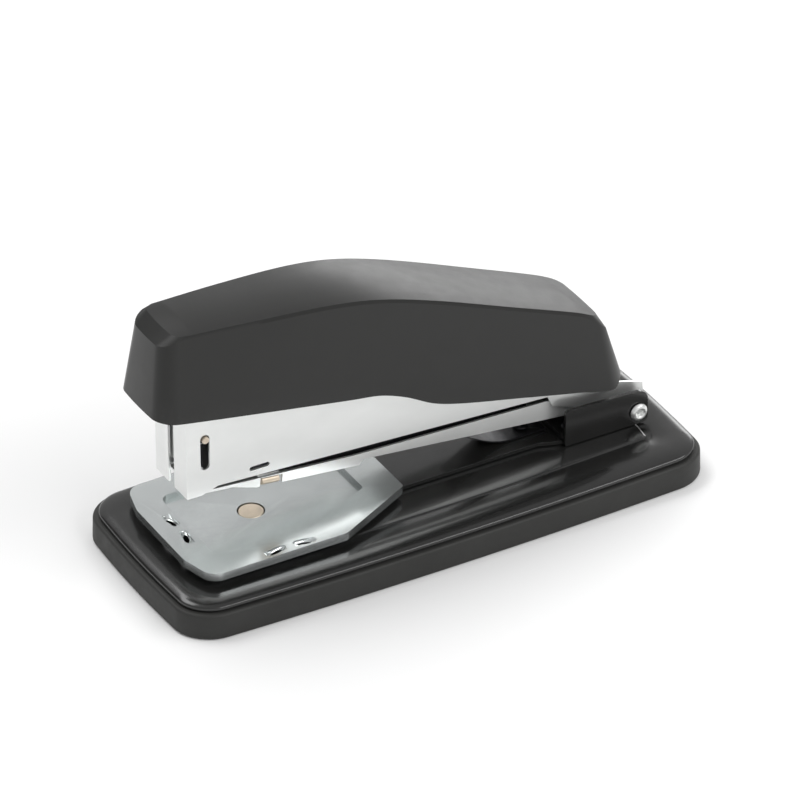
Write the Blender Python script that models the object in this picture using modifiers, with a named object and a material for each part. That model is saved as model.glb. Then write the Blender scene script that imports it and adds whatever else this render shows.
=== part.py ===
"""Half-strip desk stapler whose head swivels on the anvil post.

Millimetres are used for every named size and turned into metres by MM when a mesh is made.
-X is the nose, +X the hinge, +Z up; the origin is the middle of the base's underside.
The head stands at rest, lifted off the anvil by its leaf spring.
"""
from math import atan2, cos, pi, radians, sin

import bmesh
import bpy
from mathutils import Matrix, Vector

MM = 0.001
MERGE = 0.00001
ROUND_ANGLE = radians(35)
GAP = 0.3                   # left between two solids that touch

# Base
BASE_LENGTH = 150.0
BASE_WIDTH = 62.5
BASE_CORNER_R = 9.5
BASE_SIDE_BOW = 1.67
BASE_END_BOW = 1.24
PAD_HEIGHT = 7.0
PAD_EDGE = 0.6
PAN_INSET = 1.5
PAN_TOP = 9.5
PAN_FACE_TOP = 8.0
PAN_EDGE_SIDE = 6.9
PAN_EDGE_END = 4.7
PAN_STEP_INSET = 12.0
PAN_STEP = 0.18
PAN_SHEET = 1.2
PAN_COVE = 0.6              # the pan's inside slopes by this much under its rounded edge
PAN_COVE_END = 2.5
PAN_COVE_SIDE = 3.5

# Widths that follow the staple
STAPLE_CROWN = 12.8         # outer width of a 24/6 staple
TROUGH_SHEET = 0.6
TROUGH_HALF_WIDTH = STAPLE_CROWN / 2 + 0.1 + TROUGH_SHEET
HEAD_SHEET = 0.6
HEAD_HALF_WIDTH = TROUGH_HALF_WIDTH + GAP + HEAD_SHEET

# Swivel arm and anvil
SWIVEL_X = -41.8
ARM_HALF_WIDTH = 8.0
ARM_SHEET = 1.0
ARM_Z = PAN_TOP + GAP
POST_R = 3.2
POST_SHANK_R = 1.8
POST_TAIL_R = 3.0
TAIL_HEIGHT = 0.7
PLATE_SHEET = 0.8
PLATE_BOTTOM = ARM_Z + ARM_SHEET + GAP
RECESS_TOP = PLATE_BOTTOM + PLATE_SHEET
RECESS_DEPTH = 1.4
PLATE_TOP = RECESS_TOP + RECESS_DEPTH
PLATE_FRONT = -66.5
PLATE_REAR = -5.0
PLATE_HALF_WIDTH = 22.0
PLATE_REAR_HALF_WIDTH = 11.0
RECESS_HALF_WIDTH = 14.5
GROOVE_RADIUS = 20.0        # from the swivel axis to each pair of clinch grooves
GROOVE_BALL_R = 9.0
GROOVE_DEPTH = 0.5
GROOVE_WIDTH = 1.7
GROOVE_SPREAD = 4.1         # middle of the pair to the middle of each groove
STUD_R = 1.6
STUD_BEHIND_NOSE = 10.5     # plate's front edge to the two studs under it
STUD_Y = 9.0

# Hinge
PIN_X = 62.5
PIN_Z = PAN_TOP + 4.0
PIN_R = 1.25
PIN_HOLE_R = PIN_R + GAP
EAR_R = PIN_R + 1.05
BRACKET_FRONT = 41.3
BRACKET_REAR = 65.4
BRACKET_HALF_WIDTH = HEAD_HALF_WIDTH + 3.5
BRACKET_SHEET = 1.0
BRACKET_TOP = PIN_Z + 6.6
BRACKET_REAR_TOP = PIN_Z + 5.8
BRACKET_FLOOR_REAR = 56.0
RIVET_R = 1.0
RIVET_HEAD_R = 2.0
RIVET_HEAD = 0.7
RIVET_Y = 7.0

# Magazine, level in its own frame, measured from the pin
REST_TILT = radians(6)
TROUGH_FRONT = -123.6
TROUGH_BOTTOM = 0.4
TROUGH_FLOOR_TOP = TROUGH_BOTTOM + TROUGH_SHEET
TROUGH_FLOOR_REAR = -8.0
KEEL_BOTTOM = -1.1
KEEL_FRONT = -107.0
KEEL_REAR = -78.0
ROLLER_R = 1.0
ROLLER_LENGTH = 5.0
ROLLER_X = -102.9
ROLLER_Z = -0.15
RAIL_HALF_WIDTH = STAPLE_CROWN / 2 - 0.8
RAIL_SHEET = 0.6
RAIL_FRONT = -121.6
RAIL_REAR = -30.0
RAIL_BOTTOM = TROUGH_FLOOR_TOP + GAP
RAIL_TOP = 5.4
RAIL_SLOT_HALF_WIDTH = 2.1
RAIL_SLOT_FRONT = -118.0
RAIL_SLOT_REAR = -36.0
ROD_R = 0.8
ROD_Z = 2.9
ROD_HEAD_R = 1.5
PUSHER_FRONT = -121.4
PUSHER_LENGTH = 13.4
PUSHER_SHEET = 0.8
LUG_LENGTH = 8.0
SPRING_WIRE_R = 0.2
SPRING_MEAN_R = ROD_R + 0.55
SPRING_TURNS = 16

# Head frame, driver and handle frame
HEAD_FRONT = -63.4
HEAD_BOTTOM = PIN_Z + 13.4
HEAD_TOP = PIN_Z + 39.0
SLIT_HALF_WIDTH = 1.45
SLIT_TOP = PIN_Z + 36.5
WINDOW_X = -58.3
WINDOW_LOW = PIN_Z + 20.5
WINDOW_HIGH = PIN_Z + 30.5
WINDOW_HALF_WIDTH = 1.25
LATCH_SLOT_X = -43.5
LATCH_SLOT_Z = PIN_Z + 16.6
LATCH_SLOT_LENGTH = 5.5
LATCH_SLOT_HEIGHT = 1.2
STRAP_FRONT = 5.0
STRAP_REAR = 19.0
STRAP_Z = PIN_Z + 14.1
STRAP_SHEET = 0.8
BLADE_SHEET = 0.6
BLADE_HALF_WIDTH = STAPLE_CROWN / 2 - 0.2
BLADE_TIP = PIN_Z + 20.0
BLADE_SHOULDER = PIN_Z + 26.1
BLADE_TOP = PIN_Z + 32.5
BLADE_FRONT = HEAD_FRONT + HEAD_SHEET + 0.5
DRIVER_PIN_R = WINDOW_HALF_WIDTH - GAP
DRIVER_PIN_Z = WINDOW_HIGH - GAP - DRIVER_PIN_R
DRIVER_PIN_HALF_LENGTH = HEAD_HALF_WIDTH + 0.7
DRIVER_CARRIER_HALF_WIDTH = HEAD_HALF_WIDTH - 2.9
HANDLE_SHEET = 0.8
HANDLE_HALF_WIDTH = DRIVER_CARRIER_HALF_WIDTH + GAP + HANDLE_SHEET
HANDLE_SLOT_TRAVEL = 1.5    # how far the handle's nose swings past the driver pin
HEAD_SPRING_WIRE_R = 0.45
HEAD_SPRING_MEAN_R = 3.2
HEAD_SPRING_TURNS = 6

# Cover
COVER_WALL = 1.6
COVER_CEILING = 1.8
COVER_FRONT_LOW = -71.6
COVER_FRONT_HIGH = -65.5
COVER_FRONT_BEVEL = -69.0
COVER_REAR_LOW = 58.8
COVER_REAR_HIGH = 51.5
COVER_REAR_BEVEL = 54.8
COVER_BEVEL_DROP = 0.9
COVER_CROWN = 0.7
BOSS_R = 2.6
BOSS_HOLE_R = 1.5
SCREW_R = 1.2
SCREW_HEAD_R = 2.3
SCREW_HEAD = 1.2
SCREW_LENGTH = 6.0
SCREW_XS = (-48.0, -20.0)

# Side lines of the cover: (x, z) points that a smooth line runs through
RIDGE_LINE = [(-66.0, PIN_Z + 60.6), (-45.0, PIN_Z + 59.7), (-25.0, PIN_Z + 58.3),
              (-12.0, PIN_Z + 56.0), (3.0, PIN_Z + 51.1), (28.0, PIN_Z + 41.0),
              (45.0, PIN_Z + 34.0), (51.5, PIN_Z + 30.7)]
LIP_LINE = [(-71.6, PIN_Z + 39.1), (-64.6, PIN_Z + 37.8), (-40.0, PIN_Z + 33.8),
            (-20.0, PIN_Z + 30.5), (-12.0, PIN_Z + 29.2), (-5.0, PIN_Z + 26.5),
            (3.0, PIN_Z + 22.1), (11.0, PIN_Z + 19.5), (27.8, PIN_Z + 15.5),
            (45.0, PIN_Z + 11.4), (55.5, PIN_Z + 9.1), (58.8, PIN_Z + 12.1)]
RIDGE_HALF_WIDTHS = [(-66.0, HEAD_HALF_WIDTH + 0.3), (-40.0, HEAD_HALF_WIDTH + 1.9),
                     (-17.0, HEAD_HALF_WIDTH + 2.7), (20.0, HEAD_HALF_WIDTH + 2.6),
                     (51.5, HEAD_HALF_WIDTH + 2.0)]
LIP_HALF_WIDTHS = [(-71.6, HEAD_HALF_WIDTH + 3.2), (-40.0, HEAD_HALF_WIDTH + 3.9),
                   (0.0, HEAD_HALF_WIDTH + 4.2), (58.8, HEAD_HALF_WIDTH + 3.8)]


# ---------------------------------------------------------------- scene helpers

def clear_scene():
    """Remove every object of the file."""
    for obj in list(bpy.data.objects):
        bpy.data.objects.remove(obj, do_unlink=True)


def new_collection(name):
    """Make a collection in the scene."""
    collection = bpy.data.collections.new(name)
    bpy.context.scene.collection.children.link(collection)
    return collection


def finish_material(name, colour, roughness, metallic):
    """Make a Principled material of one colour."""
    material = bpy.data.materials.new(name)
    material.use_nodes = True
    shader = material.node_tree.nodes["Principled BSDF"]
    shader.inputs["Base Color"].default_value = (*colour, 1.0)
    shader.inputs["Roughness"].default_value = roughness
    shader.inputs["Metallic"].default_value = metallic
    return material


clear_scene()
PARTS = new_collection("desk_stapler")
CUTTERS = new_collection("cutters")
FINISHES = {
    "rubber": ((0.055, 0.055, 0.052), 0.75, 0.0),
    "gloss_black": ((0.012, 0.012, 0.013), 0.18, 0.0),
    "satin_plate": ((0.60, 0.62, 0.62), 0.28, 1.0),
    "brass": ((0.66, 0.58, 0.47), 0.35, 1.0),
    "bright_steel": ((0.78, 0.78, 0.77), 0.22, 1.0),
    "dark_steel": ((0.05, 0.05, 0.055), 0.45, 1.0),
    "black_plastic": ((0.045, 0.045, 0.043), 0.42, 0.0),
}


class Body:
    """One moving body: its empty stands on its joint's axis."""

    def __init__(self, name, axis_point, parent=None, tilt=0.0, level_frame=False):
        self.empty = bpy.data.objects.new(name, None)
        PARTS.objects.link(self.empty)
        point = Vector(axis_point)
        self.world = point
        self.empty.location = (point - (parent.world if parent else Vector())) * MM
        self.empty.parent = parent.empty if parent else None
        self.empty.rotation_euler = (0.0, tilt, 0.0)
        self.offset = Vector() if level_frame else point

    def hold(self, obj, at=(0.0, 0.0, 0.0), turn=(0.0, 0.0, 0.0)):
        """Parent an object whose place is given in the frame its body is drawn in."""
        obj.parent = self.empty
        obj.location = (Vector(at) - self.offset) * MM
        obj.rotation_euler = turn
        return obj


def link(name, mesh, body, at=(0.0, 0.0, 0.0), turn=(0.0, 0.0, 0.0)):
    """Make an object of a mesh and hang it on its body."""
    obj = bpy.data.objects.new(name, mesh)
    PARTS.objects.link(obj)
    return body.hold(obj, at, turn)


def dress(obj, finish):
    """Give a sub-part its own material and smooth rounds; return the sub-part."""
    colour, roughness, metallic = FINISHES[finish]
    obj.data.materials.clear()
    obj.data.materials.append(finish_material(obj.name, colour, roughness, metallic))
    obj.data.shade_smooth()
    obj.data.set_sharp_from_angle(angle=ROUND_ANGLE)
    return obj


def combine(target, other, operation="DIFFERENCE"):
    """Cut or join another object into the target with a Boolean."""
    for collection in list(other.users_collection):
        collection.objects.unlink(other)
    CUTTERS.objects.link(other)
    other.hide_render = True
    other.display_type = "WIRE"
    modifier = target.modifiers.new(other.name, "BOOLEAN")
    modifier.operation = operation
    modifier.solver = "EXACT"
    modifier.object = other
    return target


# ---------------------------------------------------------------- shape helpers

def prism(name, outline, low, high, body, plane="XY"):
    """Extrude a flat outline from one level to another, across XY or along Y for XZ."""
    curve = bpy.data.curves.new(name, "CURVE")
    curve.dimensions = "2D"
    curve.fill_mode = "BOTH"
    curve.extrude = (high - low) / 2 * MM
    spline = curve.splines.new("POLY")
    spline.points.add(len(outline) - 1)
    for point, (u, v) in zip(spline.points, outline):
        point.co = (u * MM, v * MM, 0.0, 1.0)
    spline.use_cyclic_u = True
    flat = bpy.data.objects.new(name, curve)
    PARTS.objects.link(flat)
    evaluated = flat.evaluated_get(bpy.context.evaluated_depsgraph_get())
    mesh = bpy.data.meshes.new_from_object(evaluated)
    bpy.data.objects.remove(flat, do_unlink=True)
    middle = (low + high) / 2 * MM
    if plane == "XZ":
        mesh.transform(Matrix.Translation((0, middle, 0)) @ Matrix.Rotation(pi / 2, 4, "X"))
    else:
        mesh.transform(Matrix.Translation((0, 0, middle)))
    shape = bmesh.new()
    shape.from_mesh(mesh)
    bmesh.ops.remove_doubles(shape, verts=shape.verts, dist=MERGE)
    bmesh.ops.recalc_face_normals(shape, faces=shape.faces)
    shape.to_mesh(mesh)
    shape.free()
    return link(name, mesh, body)


def box(name, low, high, body):
    """Make a box between two corners."""
    shape = bmesh.new()
    bmesh.ops.create_cube(shape, size=1.0)
    size = Vector(high) - Vector(low)
    middle = (Vector(high) + Vector(low)) / 2
    place = Matrix.Translation(middle * MM) @ Matrix.Diagonal((*(size * MM), 1.0))
    bmesh.ops.transform(shape, matrix=place, verts=shape.verts)
    mesh = bpy.data.meshes.new(name)
    shape.to_mesh(mesh)
    shape.free()
    return link(name, mesh, body)


def cylinder(name, radius, length, body, at, axis="Z", sides=32):
    """Make a cylinder centred on a point, along Z, Y or X."""
    turns = {"Z": (0.0, 0.0, 0.0), "Y": (pi / 2, 0.0, 0.0), "X": (0.0, pi / 2, 0.0)}
    shape = bmesh.new()
    bmesh.ops.create_cone(shape, cap_ends=True, segments=sides, radius1=radius * MM,
                          radius2=radius * MM, depth=length * MM)
    mesh = bpy.data.meshes.new(name)
    shape.to_mesh(mesh)
    shape.free()
    return link(name, mesh, body, at, turns[axis])


def turned(name, profile, body, at, turn=(0.0, 0.0, 0.0), steps=32):
    """Spin a profile of (radius, height) points, listed from top to bottom, about Z."""
    mesh = bpy.data.meshes.new(name)
    points = [(radius * MM, 0.0, height * MM) for radius, height in profile]
    mesh.from_pydata(points, [(i, i + 1) for i in range(len(points) - 1)], [])
    obj = link(name, mesh, body, at, turn)
    screw = obj.modifiers.new("turn", "SCREW")
    screw.steps = steps
    screw.render_steps = steps
    screw.use_merge_vertices = True
    screw.merge_threshold = MERGE
    return obj


def coil(name, mean_radius, wire_radius, length, turns, body, at, turn):
    """Wind a round coil along its own Z from its start point."""
    per_turn = 9
    steps = round(turns * per_turn)
    curve = bpy.data.curves.new(name, "CURVE")
    curve.dimensions = "3D"
    curve.bevel_depth = wire_radius * MM
    curve.bevel_resolution = 1
    curve.use_fill_caps = True
    spline = curve.splines.new("POLY")
    spline.points.add(steps)
    for i, point in enumerate(spline.points):
        angle = 2 * pi * i / per_turn
        height = wire_radius + (length - 2 * wire_radius) * i / steps
        point.co = (mean_radius * cos(angle) * MM, mean_radius * sin(angle) * MM, height * MM, 1.0)
    obj = bpy.data.objects.new(name, curve)
    PARTS.objects.link(obj)
    return body.hold(obj, at, turn)


def arc(centre, radius, start, end, steps):
    """Return points of an arc, angles in degrees."""
    points = []
    for i in range(steps + 1):
        angle = radians(start + (end - start) * i / steps)
        points.append((centre[0] + radius * cos(angle), centre[1] + radius * sin(angle)))
    return points


def rounded(corners, steps=5):
    """Return an outline whose (x, y, radius) corners are rounded."""
    outline = []
    count = len(corners)
    for i, (x, y, radius) in enumerate(corners):
        here = Vector((x, y))
        before = Vector(corners[i - 1][:2]) - here
        after = Vector(corners[(i + 1) % count][:2]) - here
        if radius == 0:
            outline.append((x, y))
            continue
        half = before.angle(after) / 2
        reach = radius / abs(sin(half)) * cos(half)
        first = here + before.normalized() * reach
        last = here + after.normalized() * reach
        centre = here + (before.normalized() + after.normalized()).normalized() * radius / sin(half)
        start = atan2(first.y - centre.y, first.x - centre.x)
        sweep = atan2(last.y - centre.y, last.x - centre.x) - start
        sweep = (sweep + pi) % (2 * pi) - pi
        for step in range(steps + 1):
            angle = start + sweep * step / steps
            outline.append((centre.x + radius * cos(angle), centre.y + radius * sin(angle)))
    return outline


def mirrored(corners):
    """Complete a half outline at y > 0 with its mirror at y < 0."""
    return corners + [(x, -y, radius) for x, y, radius in reversed(corners)]


def obround(x, y, length, width, along="X"):
    """Return a slot's outline with round ends."""
    radius = width / 2
    reach = length / 2 - radius
    if along == "X":
        return arc((x + reach, y), radius, -90, 90, 8) + arc((x - reach, y), radius, 90, 270, 8)
    return arc((x, y + reach), radius, 0, 180, 8) + arc((x, y - reach), radius, 180, 360, 8)


def smooth_line(points, x):
    """Read a smooth line through (x, z) points: a Hermite curve with averaged slopes."""
    x = min(max(x, points[0][0]), points[-1][0])
    i = 0
    while i < len(points) - 2 and x > points[i + 1][0]:
        i += 1

    def slope(k):
        low = points[max(k - 1, 0)]
        high = points[min(k + 1, len(points) - 1)]
        return (high[1] - low[1]) / (high[0] - low[0])

    (x0, z0), (x1, z1) = points[i], points[i + 1]
    span = x1 - x0
    t = (x - x0) / span
    return (z0 * (1 + 2 * t) * (1 - t) ** 2 + slope(i) * span * t * (1 - t) ** 2
            + z1 * t * t * (3 - 2 * t) + slope(i + 1) * span * t * t * (t - 1))


def mesh_from_faces(name, points, faces, body):
    """Make an object of lofted faces, with its normals facing out."""
    mesh = bpy.data.meshes.new(name)
    mesh.from_pydata([Vector(point) * MM for point in points], [], faces)
    shape = bmesh.new()
    shape.from_mesh(mesh)
    bmesh.ops.recalc_face_normals(shape, faces=shape.faces)
    shape.to_mesh(mesh)
    shape.free()
    return link(name, mesh, body)


def stack(name, rings, body):
    """Loft a closed solid through rings of as many points each, capped at both ends."""
    count = len(rings[0])
    points = [point for ring in rings for point in ring]
    faces = [tuple(range(count)), tuple(range(len(points) - count, len(points)))]
    for level in range(len(rings) - 1):
        start = level * count
        for i in range(count):
            j = (i + 1) % count
            faces.append((start + i, start + j, start + count + j, start + count + i))
    return mesh_from_faces(name, points, faces, body)


# ---------------------------------------------------------------- base

def base_ring(inset_end, inset_side, z):
    """Return the base's outline, its bowed sides moved inwards, at one height."""
    half_length = BASE_LENGTH / 2 - inset_end
    half_width = BASE_WIDTH / 2 - inset_side
    radius = max(BASE_CORNER_R - (inset_end + inset_side) / 3, 1.0)
    ring = []
    for side_x, side_y, start in ((1, 1, 0), (-1, 1, 90), (-1, -1, 180), (1, -1, 270)):
        centre = (side_x * (half_length - radius), side_y * (half_width - radius))
        ring += arc(centre, radius, start, start + 90, 6)
        middle_steps = 6 if side_x == side_y else 3
        last = Vector(ring[-1])
        if side_x == side_y:
            target = Vector((-last.x, last.y))
        else:
            target = Vector((last.x, -last.y))
        ring += [tuple(last.lerp(target, i / middle_steps)) for i in range(1, middle_steps)]
    bowed = []
    for x, y in ring:
        end_pull = 1 - BASE_END_BOW / half_length * (y / half_width) ** 2
        side_pull = 1 - BASE_SIDE_BOW / half_width * (x / half_length) ** 2
        bowed.append((x * end_pull, y * side_pull, z))
    return bowed


def fastener_relief(target, x, y, radius, low, high, body):
    """Cut a round hole for a rivet's shank or tail."""
    hole = cylinder(f"{target.name}_hole", radius, high - low, body, (x, y, (low + high) / 2))
    return combine(target, hole)


STUD_X = PLATE_FRONT + STUD_BEHIND_NOSE
PAN_UNDERSIDE = PAN_TOP - PAN_SHEET
TAIL_TOP = PAN_UNDERSIDE - GAP
TAIL_BOTTOM = TAIL_TOP - TAIL_HEIGHT


def make_base_pad(body):
    """Rubber pad: tapered skirt, with a plateau that stands inside the pan."""
    plateau = PAN_INSET + PAN_SHEET + GAP
    pad = stack("base_pad", [
        base_ring(PAD_EDGE, PAD_EDGE, 0.0),
        base_ring(0.0, 0.0, PAD_EDGE),
        base_ring(0.2, 0.2, PAD_HEIGHT - PAD_EDGE),
        base_ring(PAD_EDGE, PAD_EDGE, PAD_HEIGHT),
        base_ring(plateau, plateau, PAD_HEIGHT),
        base_ring(plateau, plateau, PAN_UNDERSIDE - PAN_COVE - GAP),
        base_ring(plateau + PAN_COVE_END, plateau + PAN_COVE_SIDE, TAIL_TOP),
    ], body)
    low = TAIL_BOTTOM - GAP
    high = PAN_TOP
    fastener_relief(pad, SWIVEL_X, 0.0, POST_TAIL_R + GAP, low, high, body)
    for side in (1, -1):
        fastener_relief(pad, STUD_X, side * STUD_Y, STUD_R + GAP, low, high, body)
    return dress(pad, "rubber")


def make_base_pan(body):
    """Pressed steel pan: rounded edge, shallow step line and open underside."""
    rings = [base_ring(PAN_INSET, PAN_INSET, PAD_HEIGHT + GAP)]
    edge_top = PAN_TOP - PAN_STEP - 0.12
    edge_steps = 6
    for i in range(edge_steps + 1):
        angle = pi / 2 * i / edge_steps
        across = 1 - cos(angle)
        rise = PAN_FACE_TOP + (edge_top - PAN_FACE_TOP) * sin(angle)
        end = PAN_INSET + (PAN_EDGE_END - PAN_INSET) * across
        side = PAN_INSET + (PAN_EDGE_SIDE - PAN_INSET) * across
        rings.append(base_ring(end, side, rise))
    rings.append(base_ring(PAN_STEP_INSET, PAN_STEP_INSET, PAN_TOP - PAN_STEP))
    rings.append(base_ring(PAN_STEP_INSET + 0.4, PAN_STEP_INSET + 0.4, PAN_TOP))
    pan = stack("base_pan", rings, body)
    inside = PAN_INSET + PAN_SHEET
    pocket = stack("base_pan_pocket", [
        base_ring(inside, inside, PAD_HEIGHT - 1.0),
        base_ring(inside, inside, PAN_UNDERSIDE - PAN_COVE),
        base_ring(inside + PAN_COVE_END, inside + PAN_COVE_SIDE, PAN_UNDERSIDE),
    ], body)
    combine(pan, pocket)
    low = PAN_UNDERSIDE - 1.0
    high = PAN_TOP + 1.0
    fastener_relief(pan, SWIVEL_X, 0.0, POST_SHANK_R + GAP, low, high, body)
    for side in (1, -1):
        fastener_relief(pan, STUD_X, side * STUD_Y, RIVET_R + GAP, low, high, body)
    return dress(pan, "gloss_black")


def riveted_profile(radius, top, seat, shank, tail):
    """Return the profile of a shouldered rivet that is clinched under the pan."""
    return [(0.0, top), (radius - 0.2, top), (radius, top - 0.2), (radius, seat),
            (shank, seat), (shank, TAIL_TOP), (tail, TAIL_TOP), (tail, TAIL_BOTTOM),
            (0.0, TAIL_BOTTOM)]


def make_anvil_fasteners(body):
    """The post that the arm turns on, and two studs that steady the plate."""
    profile = riveted_profile(POST_R, RECESS_TOP - 0.05, ARM_Z, POST_SHANK_R, POST_TAIL_R)
    dress(turned("anvil_post", profile, body, (SWIVEL_X, 0.0, 0.0), steps=40), "brass")
    profile = riveted_profile(STUD_R, PLATE_BOTTOM - GAP, ARM_Z, RIVET_R, STUD_R - 0.1)
    for name, side in (("plate_stud_left", 1), ("plate_stud_right", -1)):
        stud = turned(name, profile, body, (STUD_X, side * STUD_Y, 0.0), steps=20)
        dress(stud, "bright_steel")


def plate_outline(inset):
    """Return the anvil plate's outline moved inwards."""
    half = PLATE_HALF_WIDTH - inset
    rear_half = PLATE_REAR_HALF_WIDTH - inset * 0.6
    corner = max(4.5 - inset, 0.5)
    front = PLATE_FRONT + inset
    rear = PLATE_REAR - inset
    return rounded(mirrored([
        (rear, rear_half, 1.2),
        (PLATE_REAR - 22.0 - inset * 0.4, half, 3.0),
        (front + 2.0, half, corner),
        (front - 0.5, half * 0.55, 6.0),
    ]))


def recess_outline(inset):
    """Return the outline of the plate's sunk middle moved inwards."""
    half = RECESS_HALF_WIDTH - inset
    front = PLATE_FRONT + 7.0 + inset
    rear = PLATE_REAR - 9.0 - inset
    return rounded(mirrored([
        (rear, half * 0.46, 0.8),
        (rear - 17.0, half, 1.5),
        (front, half, 2.5),
    ]))


def make_anvil_plate(body):
    """Pressed plate: turned-down edge, sunk middle and three pairs of clinch grooves."""
    plate = prism("anvil_plate", plate_outline(0.0), PLATE_BOTTOM, PLATE_TOP, body)
    combine(plate, prism("plate_recess", recess_outline(0.0), RECESS_TOP, PLATE_TOP + 2.0, body))
    under = prism("plate_underside", plate_outline(PLATE_SHEET), PLATE_BOTTOM - 2.0,
                  PLATE_TOP - PLATE_SHEET, body)
    keep = prism("plate_recess_floor", recess_outline(-PLATE_SHEET), PLATE_BOTTOM - 4.0,
                 PLATE_TOP, body)
    combine(under, keep)
    combine(plate, under)
    fastener_relief(plate, SWIVEL_X, 0.0, POST_R + GAP, PLATE_BOTTOM - 1.0, PLATE_TOP, body)
    for turn_to in (90, 180, 270):
        outward = Vector((cos(radians(turn_to)), sin(radians(turn_to))))
        along = Vector((-outward.y, outward.x))
        for side in (1, -1):
            spot = outward * GROOVE_RADIUS + along * side * GROOVE_SPREAD
            axis = "X" if turn_to == 180 else "Y"
            centre = (SWIVEL_X + spot.x, spot.y, PLATE_TOP + GROOVE_BALL_R - GROOVE_DEPTH)
            groove = cylinder("clinch_groove", GROOVE_BALL_R, GROOVE_WIDTH, body, centre, axis, 64)
            combine(plate, groove)
    return dress(plate, "satin_plate")


# ---------------------------------------------------------------- swivelling arm and hinge

RIVET_XS = (BRACKET_FRONT + 3.7, BRACKET_FLOOR_REAR - 3.5)
FLOOR_BOTTOM = ARM_Z + ARM_SHEET + GAP
FLOOR_TOP = FLOOR_BOTTOM + BRACKET_SHEET
ARM_REAR = BRACKET_REAR - 1.4
ARM_REAR_HALF_WIDTH = BRACKET_HALF_WIDTH - BRACKET_SHEET - GAP
LEAF_SHEET = 0.4
LEAF_HALF_WIDTH = 4.0
LEAF_REAR = BRACKET_FRONT - 1.3
LEAF_FOOT = 10.0
LEAF_REACH = 16.0
LEAF_RIVET_X = LEAF_REAR - LEAF_FOOT / 2


def magazine_underside(x):
    """Return the height of the lifted magazine's underside at a place along the arm."""
    along = (PIN_X - x + sin(REST_TILT) * TROUGH_BOTTOM) / cos(REST_TILT)
    return PIN_Z + sin(REST_TILT) * along + cos(REST_TILT) * TROUGH_BOTTOM


def make_swivel_arm(body):
    """Steel strip from the eye on the anvil post to the hinge bracket."""
    eye = arc((SWIVEL_X, 0.0), ARM_HALF_WIDTH, 90, 270, 24)
    outline = eye + [(BRACKET_FRONT - 6.0, -ARM_HALF_WIDTH), (BRACKET_FRONT, -ARM_REAR_HALF_WIDTH),
                     (ARM_REAR, -ARM_REAR_HALF_WIDTH), (ARM_REAR, ARM_REAR_HALF_WIDTH),
                     (BRACKET_FRONT, ARM_REAR_HALF_WIDTH), (BRACKET_FRONT - 6.0, ARM_HALF_WIDTH)]
    arm = prism("swivel_arm", outline, ARM_Z, ARM_Z + ARM_SHEET, body)
    low = ARM_Z - 1.0
    high = ARM_Z + ARM_SHEET + 1.0
    fastener_relief(arm, SWIVEL_X, 0.0, POST_R + GAP, low, high, body)
    fastener_relief(arm, LEAF_RIVET_X, 0.0, RIVET_R + GAP, low, high, body)
    for x in RIVET_XS:
        for side in (1, -1):
            fastener_relief(arm, x, side * RIVET_Y, RIVET_R + GAP, low, high, body)
    return dress(arm, "gloss_black")


def make_hinge_bracket(body):
    """Channel that carries the hinge pin: two cheeks and a floor riveted to the arm."""
    outline = rounded([
        (BRACKET_FRONT, ARM_Z, 0.5),
        (BRACKET_REAR, ARM_Z, 1.5),
        (BRACKET_REAR, BRACKET_REAR_TOP, 3.0),
        (BRACKET_FRONT, BRACKET_TOP, 1.0),
    ])
    half = BRACKET_HALF_WIDTH
    bracket = prism("hinge_bracket", outline, -half, half, body, "XZ")
    inner = half - BRACKET_SHEET
    over = BRACKET_TOP + 5.0
    ahead = BRACKET_FRONT - 5.0
    behind = BRACKET_REAR + 5.0
    combine(bracket, box("bracket_channel", (ahead, -inner, FLOOR_TOP), (behind, inner, over), body))
    combine(bracket, box("bracket_under", (ahead, -inner, 0.0), (behind, inner, FLOOR_BOTTOM), body))
    combine(bracket, box("bracket_rear", (BRACKET_FLOOR_REAR, -inner, FLOOR_BOTTOM - 1.0),
                         (behind, inner, FLOOR_TOP + 1.0), body))
    combine(bracket, cylinder("bracket_pin_hole", PIN_HOLE_R, 4 * half, body,
                              (PIN_X, 0.0, PIN_Z), "Y"))
    for x in RIVET_XS:
        for side in (1, -1):
            fastener_relief(bracket, x, side * RIVET_Y, RIVET_R + GAP, FLOOR_BOTTOM - 1.0,
                            FLOOR_TOP + 1.0, body)
    return dress(bracket, "gloss_black")


def rivet_profile(bottom, seat):
    """Return the profile of a domed rivet from under its head's seat down to its flush end."""
    top = seat + RIVET_HEAD
    return [(0.0, top), (RIVET_HEAD_R * 0.6, top - 0.1), (RIVET_HEAD_R, seat + 0.25),
            (RIVET_HEAD_R, seat), (RIVET_R, seat), (RIVET_R, bottom), (0.0, bottom)]


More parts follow.
